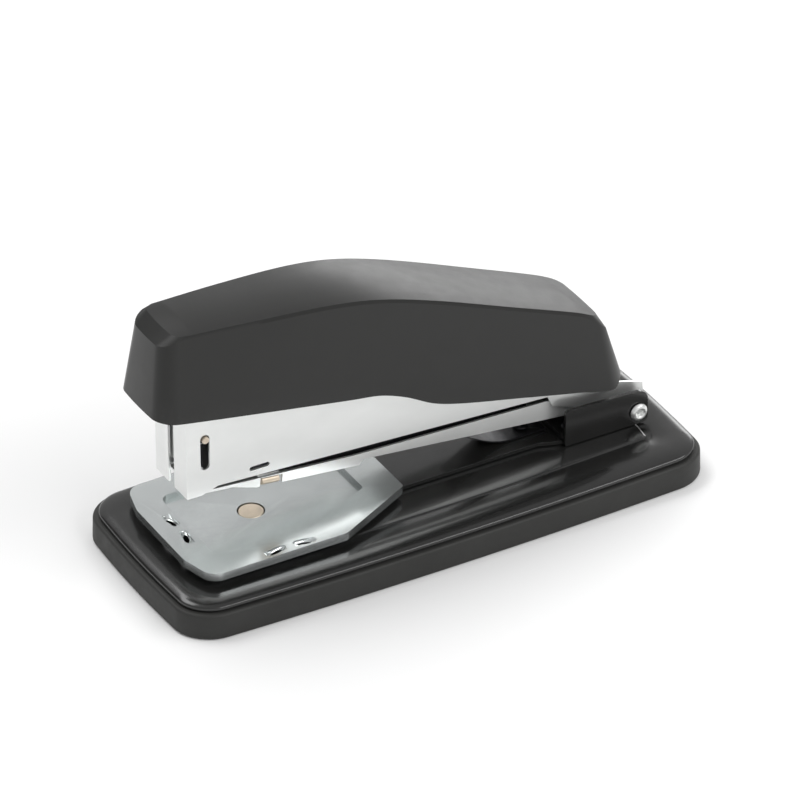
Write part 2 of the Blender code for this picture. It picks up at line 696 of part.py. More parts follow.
def make_arm_fasteners(body):
    """Four bracket rivets, the leaf spring's rivet and the eyelet-headed hinge pin."""
    flush = ARM_Z + 0.05
    for row, x in zip(("front", "rear"), RIVET_XS):
        for hand, side in (("left", 1), ("right", -1)):
            profile = rivet_profile(flush, FLOOR_TOP + GAP)
            rivet = turned(f"bracket_rivet_{row}_{hand}", profile, body,
                           (x, side * RIVET_Y, 0.0), steps=20)
            dress(rivet, "dark_steel")
    profile = rivet_profile(flush, FLOOR_BOTTOM + LEAF_SHEET + GAP)
    dress(turned("lift_spring_rivet", profile, body, (LEAF_RIVET_X, 0.0, 0.0), steps=20),
          "dark_steel")
    cheek = BRACKET_HALF_WIDTH + GAP
    head_r = PIN_R + 1.15
    end = cheek + 1.0
    profile = [(0.0, end - 0.9), (0.8, end - 0.9), (1.1, end - 0.2), (1.5, end),
               (head_r - 0.4, end - 0.2), (head_r, cheek + 0.2), (head_r, cheek),
               (PIN_R, cheek), (PIN_R, -cheek), (head_r, -cheek), (head_r, -cheek - 0.2),
               (head_r - 0.4, -end + 0.2), (1.5, -end), (1.1, -end + 0.2), (0.8, -end + 0.9),
               (0.0, -end + 0.9)]
    pin = turned("hinge_pin", profile, body, (PIN_X, 0.0, PIN_Z), (pi / 2, 0.0, 0.0))
    dress(pin, "bright_steel")


def make_lift_spring(body):
    """Leaf spring that lifts the magazine off the anvil."""
    foot_z = FLOOR_BOTTOM
    tip_x = LEAF_REAR - LEAF_FOOT - LEAF_REACH
    tip_z = magazine_underside(tip_x) - LEAF_SHEET - 2 * GAP
    bend_x = LEAF_REAR - LEAF_FOOT
    lower = [(LEAF_REAR, foot_z), (bend_x, foot_z)]
    steps = 10
    for i in range(1, steps + 1):
        t = i / steps
        rise = t * t * (1.6 - 0.6 * t)
        lower.append((bend_x - LEAF_REACH * t, foot_z + (tip_z - foot_z) * rise))
    upper = [(x, z + LEAF_SHEET) for x, z in reversed(lower)]
    leaf = prism("lift_spring", lower + upper, -LEAF_HALF_WIDTH, LEAF_HALF_WIDTH, body, "XZ")
    fastener_relief(leaf, LEAF_RIVET_X, 0.0, RIVET_R + GAP, foot_z - 1.0, foot_z + 2.0, body)
    return dress(leaf, "dark_steel")


# ---------------------------------------------------------------- magazine

def ear(start, end, steps=12):
    """Return the round end of a lug about the pin, in the magazine's frame."""
    return arc((0.0, 0.0), EAR_R, start, end, steps)


def make_staple_trough(body):
    """Channel that carries the staples, with a keel that drops into the anvil's recess."""
    outline = [(TROUGH_FRONT, TROUGH_BOTTOM), (KEEL_FRONT - 6.5, TROUGH_BOTTOM),
               (KEEL_FRONT, KEEL_BOTTOM), (KEEL_REAR, KEEL_BOTTOM),
               (KEEL_REAR + 1.0, TROUGH_BOTTOM), (TROUGH_FLOOR_REAR, TROUGH_BOTTOM)]
    outline += ear(205, 400)
    outline += [(-2.5, 5.0), (-10.0, 6.3), (-25.8, 5.7), (-80.0, TROUGH_FLOOR_TOP + 1.0),
                (TROUGH_FRONT + 5.6, TROUGH_FLOOR_TOP + 0.15),
                (TROUGH_FRONT, TROUGH_FLOOR_TOP + 0.15)]
    half = TROUGH_HALF_WIDTH
    inner = half - TROUGH_SHEET
    trough = prism("staple_trough", outline, -half, half, body, "XZ")
    ahead = TROUGH_FRONT - 5.0
    combine(trough, box("trough_channel", (ahead, -inner, TROUGH_FLOOR_TOP), (10.0, inner, 20.0), body))
    combine(trough, box("trough_under", (ahead, -inner, -9.0),
                        (10.0, inner, TROUGH_BOTTOM + 0.05), body))
    combine(trough, box("trough_rear", (TROUGH_FLOOR_REAR, -inner, -8.0), (12.0, inner, 15.0), body))
    combine(trough, cylinder("trough_pin_hole", PIN_HOLE_R, 40.0, body, (0.0, 0.0, 0.0), "Y"))
    reach = ROLLER_LENGTH / 2 + 0.6
    combine(trough, box("trough_roller_notch", (ROLLER_X - reach, -half - 1.0, -5.0),
                        (ROLLER_X + reach, -half + 2.5, ROLLER_Z + ROLLER_R + 0.4), body))
    return dress(trough, "bright_steel")


def make_staple_rail(body):
    """Inverted channel that the staples straddle, slotted for the pusher's lug."""
    half = RAIL_HALF_WIDTH
    inner = half - RAIL_SHEET
    rail = box("staple_rail", (RAIL_FRONT, -half, RAIL_BOTTOM), (RAIL_REAR, half, RAIL_TOP), body)
    combine(rail, box("rail_channel", (RAIL_FRONT + RAIL_SHEET, -inner, RAIL_BOTTOM - 2.0),
                      (RAIL_REAR - RAIL_SHEET, inner, RAIL_TOP - RAIL_SHEET), body))
    combine(rail, box("rail_slot", (RAIL_SLOT_FRONT, -RAIL_SLOT_HALF_WIDTH, 3.0),
                      (RAIL_SLOT_REAR, RAIL_SLOT_HALF_WIDTH, RAIL_TOP + 2.0), body))
    length = RAIL_REAR - RAIL_FRONT + 8.0
    combine(rail, cylinder("rail_rod_hole", ROD_R + GAP, length, body,
                           ((RAIL_FRONT + RAIL_REAR) / 2, 0.0, ROD_Z), "X"))
    return dress(rail, "dark_steel")


def make_magazine_parts(body):
    """Guide rod, the pusher's spring and the small roller in the keel."""
    seat = RAIL_REAR + GAP
    front = RAIL_FRONT + 0.2
    profile = [(0.0, seat + 1.0), (ROD_HEAD_R, seat + 1.0), (ROD_HEAD_R, seat), (ROD_R, seat),
               (ROD_R, front), (0.0, front)]
    rod = turned("guide_rod", profile, body, (0.0, 0.0, ROD_Z), (0.0, pi / 2, 0.0), steps=16)
    dress(rod, "bright_steel")
    start = LUG_REAR + GAP
    end = RAIL_REAR - RAIL_SHEET - GAP
    spring = coil("pusher_spring", SPRING_MEAN_R, SPRING_WIRE_R, end - start, SPRING_TURNS, body,
                  (start, 0.0, ROD_Z), (0.0, pi / 2, 0.0))
    spring.data.materials.append(finish_material("pusher_spring", *FINISHES["bright_steel"]))
    half = ROLLER_LENGTH / 2
    profile = [(0.0, half), (ROLLER_R - 0.15, half), (ROLLER_R, half - 0.15),
               (ROLLER_R, -half + 0.15), (ROLLER_R - 0.15, -half), (0.0, -half)]
    roller = turned("keel_roller", profile, body,
                    (ROLLER_X, -TROUGH_HALF_WIDTH + ROLLER_R, ROLLER_Z), (0.0, pi / 2, 0.0), steps=20)
    dress(roller, "brass")


LUG_FRONT = RAIL_SLOT_FRONT + GAP
LUG_REAR = LUG_FRONT + LUG_LENGTH


def make_pusher(body):
    """Slider on the rail with a lug that rides the guide rod."""
    seat = RAIL_TOP + GAP
    pusher = box("staple_pusher", (PUSHER_FRONT, -RAIL_HALF_WIDTH, seat),
                 (PUSHER_FRONT + PUSHER_LENGTH, RAIL_HALF_WIDTH, seat + PUSHER_SHEET), body)
    lug = RAIL_SLOT_HALF_WIDTH - GAP
    combine(pusher, box("pusher_lug", (LUG_FRONT, -lug, RAIL_BOTTOM + 0.1),
                        (LUG_REAR, lug, seat + PUSHER_SHEET / 2), body), "UNION")
    combine(pusher, cylinder("pusher_rod_hole", ROD_R + GAP, 40.0, body,
                             (PUSHER_FRONT, 0.0, ROD_Z), "X"))
    return dress(pusher, "bright_steel")


# ---------------------------------------------------------------- head frame and driver

def make_head_frame(body):
    """Folded frame over the magazine: two cheeks joined by the slit front and a strap."""
    pin = Vector((PIN_X, PIN_Z))
    low_ear = [tuple(pin + Vector(point)) for point in arc((0.0, 0.0), EAR_R, 215, 330, 8)]
    outline = [(HEAD_FRONT, HEAD_BOTTOM), (HEAD_FRONT + 4.0, HEAD_BOTTOM),
               (HEAD_FRONT + 8.6, HEAD_BOTTOM + 1.4), (38.0, PIN_Z + 10.2), (39.5, PIN_Z + 7.1)]
    outline += low_ear
    outline += [(PIN_X + 2.9, PIN_Z + 0.2), (PIN_X + 3.6, PIN_Z + 2.6), (PIN_X + 3.3, PIN_Z + 5.9),
                (PIN_X - 5.5, PIN_Z + 8.6), (PIN_X - 11.0, PIN_Z + 15.0), (-15.0, PIN_Z + 33.5),
                (HEAD_FRONT + 5.0, HEAD_TOP), (HEAD_FRONT, HEAD_TOP)]
    half = HEAD_HALF_WIDTH
    inner = half - HEAD_SHEET
    frame = prism("head_frame", outline, -half, half, body, "XZ")
    combine(frame, box("head_channel", (HEAD_FRONT + HEAD_SHEET, -inner, 0.0),
                       (PIN_X + 10.0, inner, 80.0), body))
    combine(frame, box("head_slit", (HEAD_FRONT - 2.0, -SLIT_HALF_WIDTH, 10.0),
                       (HEAD_FRONT + 2.0, SLIT_HALF_WIDTH, SLIT_TOP), body))
    strap = box("head_strap", (STRAP_FRONT, -half + HEAD_SHEET / 2, STRAP_Z),
                (STRAP_REAR, half - HEAD_SHEET / 2, STRAP_Z + STRAP_SHEET), body)
    combine(frame, strap, "UNION")
    window = obround(WINDOW_X, (WINDOW_LOW + WINDOW_HIGH) / 2, WINDOW_HIGH - WINDOW_LOW,
                     2 * WINDOW_HALF_WIDTH, "Y")
    combine(frame, prism("head_window", window, -20.0, 20.0, body, "XZ"))
    slot = obround(LATCH_SLOT_X, LATCH_SLOT_Z, LATCH_SLOT_LENGTH, LATCH_SLOT_HEIGHT)
    combine(frame, prism("head_latch_slot", slot, -20.0, 20.0, body, "XZ"))
    combine(frame, cylinder("head_pin_hole", PIN_HOLE_R, 40.0, body, (PIN_X, 0.0, PIN_Z), "Y"))
    return dress(frame, "bright_steel")


def make_head_spring(body):
    """Coil that holds the handle frame up off the strap."""
    x = (STRAP_FRONT + STRAP_REAR) / 2
    start = STRAP_Z + STRAP_SHEET + GAP
    room = HEAD_SPRING_MEAN_R + HEAD_SPRING_WIRE_R
    end = handle_web_top(x + room) - HANDLE_SHEET * 1.2 - GAP
    spring = coil("head_spring", HEAD_SPRING_MEAN_R, HEAD_SPRING_WIRE_R, end - start,
                  HEAD_SPRING_TURNS, body, (x, 0.0, start), (0.0, 0.0, 0.0))
    spring.data.materials.append(finish_material("head_spring", *FINISHES["bright_steel"]))


def make_driver(body):
    """Driver blade with a folded carrier, and the cross pin that rides in the window."""
    carrier = DRIVER_CARRIER_HALF_WIDTH
    rear = WINDOW_X + DRIVER_PIN_R + GAP + 0.8
    blade = box("driver_blade", (BLADE_FRONT, -carrier, BLADE_SHOULDER),
                (rear, carrier, BLADE_TOP), body)
    inner = carrier - HANDLE_SHEET
    combine(blade, box("carrier_channel", (BLADE_FRONT + BLADE_SHEET, -inner, 0.0),
                       (rear + 5.0, inner, 80.0), body))
    combine(blade, box("blade_edge", (BLADE_FRONT, -BLADE_HALF_WIDTH, BLADE_TIP),
                       (BLADE_FRONT + BLADE_SHEET, BLADE_HALF_WIDTH, BLADE_SHOULDER + 0.4), body),
            "UNION")
    combine(blade, cylinder("carrier_pin_hole", DRIVER_PIN_R + GAP, 40.0, body,
                            (WINDOW_X, 0.0, DRIVER_PIN_Z), "Y"))
    dress(blade, "bright_steel")
    half = DRIVER_PIN_HALF_LENGTH
    r = DRIVER_PIN_R
    profile = [(0.0, half), (r - 0.15, half), (r, half - 0.15), (r, -half + 0.15),
               (r - 0.15, -half), (0.0, -half)]
    pin = turned("driver_pin", profile, body, (WINDOW_X, 0.0, DRIVER_PIN_Z), (pi / 2, 0.0, 0.0),
                 steps=20)
    dress(pin, "brass")


# ---------------------------------------------------------------- handle frame and cover

HANDLE_WEB = [(-56.0, PIN_Z + 51.0), (-12.0, PIN_Z + 48.5), (50.0, PIN_Z + 20.5),
              (60.0, PIN_Z + 6.5)]


def handle_web_top(x):
    """Return the height of the handle frame's top line."""
    for (x0, z0), (x1, z1) in zip(HANDLE_WEB, HANDLE_WEB[1:]):
        if x <= x1:
            return z0 + (z1 - z0) * (x - x0) / (x1 - x0)
    return HANDLE_WEB[-1][1]


def make_handle_frame(body):
    """Steel channel inside the cover: lugs on the pin, nose slots on the driver pin."""
    ring = DRIVER_PIN_R + GAP + HANDLE_SHEET
    nose = WINDOW_X - ring
    pin = Vector((PIN_X, PIN_Z))
    lug = [tuple(pin + Vector(point)) for point in arc((0.0, 0.0), EAR_R, 215, 390, 12)]
    outline = [(nose, DRIVER_PIN_Z - ring), (nose + 12.0, DRIVER_PIN_Z - ring),
               (12.0, PIN_Z + 20.0), (37.5, PIN_Z + 14.0), (54.5, PIN_Z + 4.0)]
    outline += lug + HANDLE_WEB[::-1] + [(nose, DRIVER_PIN_Z + 8.0)]
    half = HANDLE_HALF_WIDTH
    inner = half - HANDLE_SHEET
    frame = prism("handle_frame", outline, -half, half, body, "XZ")
    hollow = [(x - 0.3, z - HANDLE_SHEET * 1.1) for x, z in HANDLE_WEB]
    hollow = [(-80.0, 0.0), (-80.0, hollow[0][1])] + hollow
    hollow += [(PIN_X + 10.0, 10.0), (PIN_X + 10.0, 0.0)]
    combine(frame, prism("handle_channel", hollow, -inner, inner, body, "XZ"))
    slot = obround(WINDOW_X + HANDLE_SLOT_TRAVEL / 2, DRIVER_PIN_Z,
                   2 * (DRIVER_PIN_R + GAP) + HANDLE_SLOT_TRAVEL, 2 * (DRIVER_PIN_R + GAP))
    combine(frame, prism("handle_nose_slot", slot, -20.0, 20.0, body, "XZ"))
    combine(frame, cylinder("handle_pin_hole", PIN_HOLE_R, 40.0, body, (PIN_X, 0.0, PIN_Z), "Y"))
    for x in SCREW_XS:
        fastener_relief(frame, x, 0.0, SCREW_R + GAP, handle_web_top(x) - 4.0,
                        handle_web_top(x) + 4.0, body)
    return dress(frame, "dark_steel")


def cover_row(x_end, corner, half_width, height, rear, bow):
    """Return one end row of a cover ring: corner arc, straight run, corner arc, near to far."""
    inward = -1 if rear else 1
    centre_x = x_end + inward * corner
    half = half_width(centre_x)
    centre_y = half - corner
    row = []
    for i in range(5):
        angle = pi / 2 * i / 4
        row.append((centre_x - inward * corner * sin(angle), -(centre_y + corner * cos(angle))))
    row += [(x_end, -centre_y * t) for t in (0.5, 0.0, -0.5)]
    row += [(x, -y) for x, y in reversed(row[:5])]
    shaped = []
    for x, y in row:
        x -= inward * bow * (1 - (y / half) ** 2)
        shaped.append((x, y, height(x)))
    return shaped


def cover_ring(x_front, x_rear, corner, half_width, height, sides=26):
    """Return a cover ring as its front row, rear row and near side stations."""
    front = cover_row(x_front, corner, half_width, height, False, 0.6)
    rear = cover_row(x_rear, corner, half_width, height, True, 0.3)
    start = x_front + corner
    end = x_rear - corner
    side = []
    for i in range(1, sides):
        x = start + (end - start) * i / sides
        side.append((x, -half_width(x), height(x)))
    return front, rear, side


def ring_loop(ring):
    """Return the ring's points in one closed loop."""
    front, rear, side = ring
    far = [(x, -y, z) for x, y, z in side]
    return front + far + rear[::-1] + side[::-1]


def ring_grid(ring, crown):
    """Return rows of points across the ring, crowned in the middle."""
    front, rear, side = ring
    columns = len(front)
    rows = [list(front)]
    for x, y, z in side:
        row = []
        for k in range(columns):
            share = 2 * k / (columns - 1) - 1
            row.append((x, -y * share, z + crown * (1 - share * share)))
        rows.append(row)
    rows.append(list(rear))
    return rows


def shell_surface(rings, crown, points, faces):
    """Add walls through the rings and a crowned top; return the first ring's indices."""
    loops = []
    for ring in rings:
        loop = ring_loop(ring)
        loops.append(range(len(points), len(points) + len(loop)))
        points += loop
    count = len(loops[0])
    for low, high in zip(loops, loops[1:]):
        for i in range(count):
            j = (i + 1) % count
            faces.append((low[i], low[j], high[j], high[i]))
    top = loops[-1]
    grid = ring_grid(rings[-1], crown)
    columns = len(grid[0])
    side = len(grid) - 2
    index = [[top[k] for k in range(columns)]]
    for s in range(side):
        near = top[count - 1 - s]
        far = top[columns + s]
        first = len(points)
        points += grid[s + 1][1:-1]
        index.append([near] + list(range(first, first + columns - 2)) + [far])
    index.append([top[columns + side + columns - 1 - k] for k in range(columns)])
    for row, following in zip(index, index[1:]):
        for k in range(columns - 1):
            faces.append((row[k], row[k + 1], following[k + 1], following[k]))
    return loops[0]


def cover_rings(inset, drop):
    """Return the cover's rings from lip to top, moved in by a wall and down by a ceiling."""
    def lip_half(x):
        return smooth_line(LIP_HALF_WIDTHS, x) - inset

    def ridge_half(x):
        return smooth_line(RIDGE_HALF_WIDTHS, x) - inset

    def bevel_half(x):
        return ridge_half(x) + (0.35 if drop == 0 else 0.1)

    def lip(x):
        return smooth_line(LIP_LINE, x)

    def ridge(x):
        return smooth_line(RIDGE_LINE, x) - drop

    def bevel(x):
        front = max(0.0, (COVER_FRONT_HIGH + inset - x) / (COVER_FRONT_HIGH - COVER_FRONT_BEVEL))
        rear = max(0.0, (x - COVER_REAR_HIGH + 4.0 + inset) / (COVER_REAR_BEVEL - COVER_REAR_HIGH + 4.0))
        return ridge(x) - COVER_BEVEL_DROP - 1.6 * min(front, 1.0) - 4.6 * min(rear, 1.0) ** 2

    corner = 4.6 - inset * 0.8
    return [
        cover_ring(COVER_FRONT_LOW + inset, COVER_REAR_LOW - inset, corner, lip_half, lip),
        cover_ring(COVER_FRONT_BEVEL + inset, COVER_REAR_BEVEL - inset, corner * 0.85,
                   bevel_half, bevel),
        cover_ring(COVER_FRONT_HIGH + inset, COVER_REAR_HIGH - inset, corner * 0.6,
                   ridge_half, ridge),
    ]


def make_cover(body):
    """Moulded cover: open-bottomed shell with two screw bosses under its top."""
    points = []
    faces = []
    outer_lip = shell_surface(cover_rings(0.0, 0.0), COVER_CROWN, points, faces)
    inner_lip = shell_surface(cover_rings(COVER_WALL, COVER_CEILING), COVER_CROWN, points, faces)
    count = len(outer_lip)
    for i in range(count):
        j = (i + 1) % count
        faces.append((outer_lip[i], outer_lip[j], inner_lip[j], inner_lip[i]))
    cover = mesh_from_faces("cover", points, faces, body)
    for x in SCREW_XS:
        low = handle_web_top(x) + 0.6
        high = smooth_line(RIDGE_LINE, x) - COVER_CEILING / 2
        boss = cylinder("cover_boss", BOSS_R, high - low, body, (x, 0.0, (low + high) / 2), sides=24)
        combine(cover, boss, "UNION")
        depth = handle_web_top(x) + SCREW_LENGTH
        fastener_relief(cover, x, 0.0, BOSS_HOLE_R, low - 1.0, min(depth, high - 1.0), body)
    return dress(cover, "black_plastic")


def make_cover_screws(body):
    """Two screws from under the handle frame's web into the cover's bosses."""
    for name, x in zip(("cover_screw_front", "cover_screw_rear"), SCREW_XS):
        web = handle_web_top(x)
        seat = web - HANDLE_SHEET * 1.1 - GAP - 0.2
        tip = min(web + SCREW_LENGTH, smooth_line(RIDGE_LINE, x) - COVER_CEILING / 2 - 1.0) - GAP
        profile = [(0.0, tip), (SCREW_R * 0.5, tip), (SCREW_R, tip - 1.0), (SCREW_R, seat),
                   (SCREW_HEAD_R, seat), (SCREW_HEAD_R, seat - SCREW_HEAD + 0.3),
                   (SCREW_HEAD_R - 0.5, seat - SCREW_HEAD), (0.0, seat - SCREW_HEAD)]
        dress(turned(name, profile, body, (x, 0.0, 0.0), steps=20), "bright_steel")


# ---------------------------------------------------------------- assembly

def build():
    """Make every body and its sub-parts."""
    base = Body("base_body", (0.0, 0.0, 0.0))
    swivel = Body("swivel_body", (SWIVEL_X, 0.0, ARM_Z), base)
    pin = (PIN_X, 0.0, PIN_Z)
    magazine = Body("magazine_body", pin, swivel, REST_TILT, level_frame=True)
    head = Body("head_body", pin, swivel)
    cover = Body("cover_body", pin, head)
    driver = Body("driver_body", (WINDOW_X, 0.0, DRIVER_PIN_Z), head)
    make_base_pad(base)
    make_base_pan(base)
    make_anvil_fasteners(base)
    make_anvil_plate(base)
    make_swivel_arm(swivel)
    make_hinge_bracket(swivel)
    make_arm_fasteners(swivel)
    make_lift_spring(swivel)
    make_staple_trough(magazine)
    make_staple_rail(magazine)
    make_magazine_parts(magazine)
    make_pusher(magazine)
    make_head_frame(head)
    make_head_spring(head)
    make_driver(driver)
    make_handle_frame(cover)
    make_cover(cover)
    make_cover_screws(cover)


build()
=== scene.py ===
"""Looks of the desk stapler: finishes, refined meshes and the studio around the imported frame.

Every class below is one sub-assembly or one finish. Lengths are metres, and MM turns the
millimetres of the size fields into them.
"""
import logging
from collections.abc import Callable, Sequence
from dataclasses import dataclass, field
from enum import Enum
from math import cos, pi, radians, sin

import bmesh
import bpy
from mathutils import Matrix, Vector


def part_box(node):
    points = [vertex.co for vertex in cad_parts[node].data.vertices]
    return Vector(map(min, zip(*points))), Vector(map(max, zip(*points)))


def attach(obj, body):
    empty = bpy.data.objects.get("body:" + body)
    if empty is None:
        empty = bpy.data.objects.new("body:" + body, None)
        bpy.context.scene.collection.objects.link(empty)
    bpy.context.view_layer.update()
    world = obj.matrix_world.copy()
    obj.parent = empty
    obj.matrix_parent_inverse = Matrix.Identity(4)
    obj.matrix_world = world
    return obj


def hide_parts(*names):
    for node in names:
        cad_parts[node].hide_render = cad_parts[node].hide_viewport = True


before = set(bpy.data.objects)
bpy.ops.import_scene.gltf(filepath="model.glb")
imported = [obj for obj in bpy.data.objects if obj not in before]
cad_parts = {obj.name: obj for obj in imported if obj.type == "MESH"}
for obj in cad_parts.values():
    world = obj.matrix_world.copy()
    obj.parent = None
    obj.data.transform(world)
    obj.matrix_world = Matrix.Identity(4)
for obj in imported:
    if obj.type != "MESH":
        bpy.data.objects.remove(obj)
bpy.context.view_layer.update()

LOG = logging.getLogger("desk_stapler")
MM = 0.001
MERGE = 0.00001

Point = tuple[float, float, float]
Line = Sequence[tuple[float, float]]


class Carrier(Enum):
    """Bodies that pieces ride on."""

    BASE = "base"
    ARM = "arm"
    MAGAZINE = "magazine"
    PUSHER = "pusher"
    HEAD = "head"
    DRIVER = "driver"
    COVER = "cover"


class Slot(Enum):
    """Material slots of the record."""

    RUBBER = "pad_rubber"
    ENAMEL = "black_enamel"
    PLATE = "satin_plate"
    WARM = "warm_zinc"
    NICKEL = "bright_nickel"
    DARK = "dark_steel"
    PLASTIC = "black_plastic"


# ---------------------------------------------------------------- finishes

class Graph:
    """A material's node tree with short calls for adding and joining nodes."""

    def __init__(self, name: str) -> None:
        """Start a material.

        Args:
            name: The material's name.
        """
        self.material = bpy.data.materials.new(name)
        self.material.use_nodes = True
        self.tree = self.material.node_tree
        self.shader = self.tree.nodes["Principled BSDF"]

    def add(self, kind: str, **inputs: object) -> bpy.types.Node:
        """Add a node and set or join its inputs.

        Args:
            kind: The node's type name.
            **inputs: Socket names with spaces as underscores; a socket is joined, a value is set.

        Returns:
            The new node.
        """
        node = self.tree.nodes.new(kind)
        for key, value in inputs.items():
            self.feed(node.inputs[key.replace("_", " ")], value)
        return node

    def feed(self, socket: bpy.types.NodeSocket, value: object) -> None:
        """Join a socket to another, or set its value."""
        if isinstance(value, bpy.types.NodeSocket):
            self.tree.links.new(value, socket)
        else:
            socket.default_value = value

    def noise(self, scale: float, stretch: Point = (1.0, 1.0, 1.0), detail: float = 3.0,
              roughness: float = 0.5) -> bpy.types.NodeSocket:
        """Return a noise value on the piece's own coordinates.

        Args:
            scale: Waves per metre.
            stretch: How much finer the noise is along each axis.
            detail: Octaves.
            roughness: Weight of the finer octaves.

        Returns:
            The noise's value socket.
        """
        place = self.add("ShaderNodeTexCoord")
        mapping = self.add("ShaderNodeMapping", Vector=place.outputs["Object"])
        mapping.inputs["Scale"].default_value = stretch
        noise = self.add("ShaderNodeTexNoise", Vector=mapping.outputs["Vector"], Scale=scale,
                         Detail=detail, Roughness=roughness)
        return noise.outputs["Fac"]

    def spread(self, value: bpy.types.NodeSocket, low: float, high: float,
               start: float = 0.3, end: float = 0.7) -> bpy.types.NodeSocket:
        """Map a noise value's middle band onto a range and return the result."""
        node = self.add("ShaderNodeMapRange", Value=value)
        node.inputs["From Min"].default_value = start
        node.inputs["From Max"].default_value = end
        node.inputs["To Min"].default_value = low
        node.inputs["To Max"].default_value = high
        return node.outputs["Result"]

    def mix(self, share: bpy.types.NodeSocket, first: object,
            second: object) -> bpy.types.NodeSocket:
        """Mix two colours by a share and return the result."""
        node = self.tree.nodes.new("ShaderNodeMix")
        node.data_type = "RGBA"
        self.feed(node.inputs[0], share)
        self.feed(node.inputs[6], first)
        self.feed(node.inputs[7], second)
        return node.outputs[2]

    def edges(self, start: float, end: float) -> bpy.types.NodeSocket:
        """Return a mask of the surface's raised edges, broken up by noise."""
        geometry = self.add("ShaderNodeNewGeometry")
        edge = self.spread(geometry.outputs["Pointiness"], 0.0, 1.0, start, end)
        broken = self.spread(self.noise(900.0, detail=4.0), 0.2, 1.0)
        node = self.add("ShaderNodeMath")
        node.operation = "MULTIPLY"
        self.feed(node.inputs[0], edge)
        self.feed(node.inputs[1], broken)
        node.use_clamp = True
        return node.outputs["Value"]

    def bump(self, height: bpy.types.NodeSocket, strength: float, distance: float,
             under: bpy.types.NodeSocket | None = None) -> bpy.types.NodeSocket:
        """Return a bumped normal of a height, over another normal if one is given."""
        node = self.add("ShaderNodeBump", Height=height, Strength=strength, Distance=distance)
        if under is not None:
            self.feed(node.inputs["Normal"], under)
        return node.outputs["Normal"]


def tone(colour: Sequence[float], factor: float) -> tuple[float, float, float, float]:
    """Return a colour scaled by a factor, with its alpha."""
    return (colour[0] * factor, colour[1] * factor, colour[2] * factor, 1.0)


@dataclass(frozen=True)
class Finish:
    """One surface: colour that drifts, roughness that varies, grain and lighter edges (wear, and on
    the satin plate a painted highlight).

    Attributes:
        name: The material's name.
        slot: The record's slot it belongs to; not used.
        colour: Base colour.
        metallic: Metallic value.
        rough: Lowest and highest roughness.
        drift: How far the colour drifts either way, as a share.
        patch: Waves per metre of the drift.
        stretch: Stretch of the drift and of the roughness, for drawn sheet.
        grain: Waves per metre of the bump.
        grain_depth: Depth of the grain in metres.
        wave_depth: Depth of the slow unevenness in metres.
        edge_wear_and_highlight: Colour of the edges; wear, and on the satin plate also a painted
            highlight line.
        edge_wear_and_highlight_band: Pointiness band that counts as an edge.
        coat: Weight of the clear coat.
        specular: Strength of the mirror-like part on paint and plastic.
    """

    name: str
    slot: Slot
    colour: tuple[float, float, float]
    metallic: float = 0.0
    rough: tuple[float, float] = (0.4, 0.5)
    drift: float = 0.08
    patch: float = 60.0
    stretch: Point = (1.0, 1.0, 1.0)
    grain: float = 4000.0
    grain_depth: float = 0.00002
    wave_depth: float = 0.0
    edge_wear_and_highlight: tuple[float, float, float] = (0.1, 0.1, 0.1)
    edge_wear_and_highlight_band: tuple[float, float] = (0.60, 0.72)
    coat: float = 0.0
    specular: float = 0.5

    def material(self) -> bpy.types.Material:
        """Return the finish's material, made once."""
        made = bpy.data.materials.get(self.name)
        if made is not None:
            return made
        graph = Graph(self.name)
        shader = graph.shader
        patches = graph.noise(self.patch, self.stretch, 4.0, 0.6)
        body = graph.mix(graph.spread(patches, 0.0, 1.0), tone(self.colour, 1 - self.drift),
                         tone(self.colour, 1 + self.drift))
        # Lighter colour on raised edges: wear, and on the satin plate partly a painted highlight.
        edges_worn_and_highlit = graph.mix(graph.edges(*self.edge_wear_and_highlight_band), body, (*self.edge_wear_and_highlight, 1.0))
        graph.feed(shader.inputs["Base Color"], edges_worn_and_highlit)
        smears = graph.noise(self.patch * 3.7, self.stretch, 5.0, 0.65)
        graph.feed(shader.inputs["Roughness"], graph.spread(smears, *self.rough))
        normal = graph.bump(graph.noise(self.grain, detail=2.0), 0.6, self.grain_depth)
        if self.wave_depth:
            normal = graph.bump(graph.noise(self.patch * 1.5), 0.5, self.wave_depth, normal)
        graph.feed(shader.inputs["Normal"], normal)
        shader.inputs["Metallic"].default_value = self.metallic
        shader.inputs["Coat Weight"].default_value = self.coat
        shader.inputs["Coat Roughness"].default_value = 0.06
        shader.inputs["Specular IOR Level"].default_value = self.specular
        return graph.material


PAD_RUBBER = Finish("moulded_pad_rubber", Slot.RUBBER, (0.026, 0.026, 0.0245), rough=(0.50, 0.62),
                    grain=3000.0, grain_depth=0.00003, edge_wear_and_highlight=(0.07, 0.07, 0.066), specular=0.35)
BLACK_ENAMEL = Finish("stoved_black_enamel", Slot.ENAMEL, (0.012, 0.012, 0.0115),
                      rough=(0.20, 0.27), drift=0.2, grain=500.0, grain_depth=0.000001,
                      edge_wear_and_highlight=(0.03, 0.03, 0.032), coat=0.3)
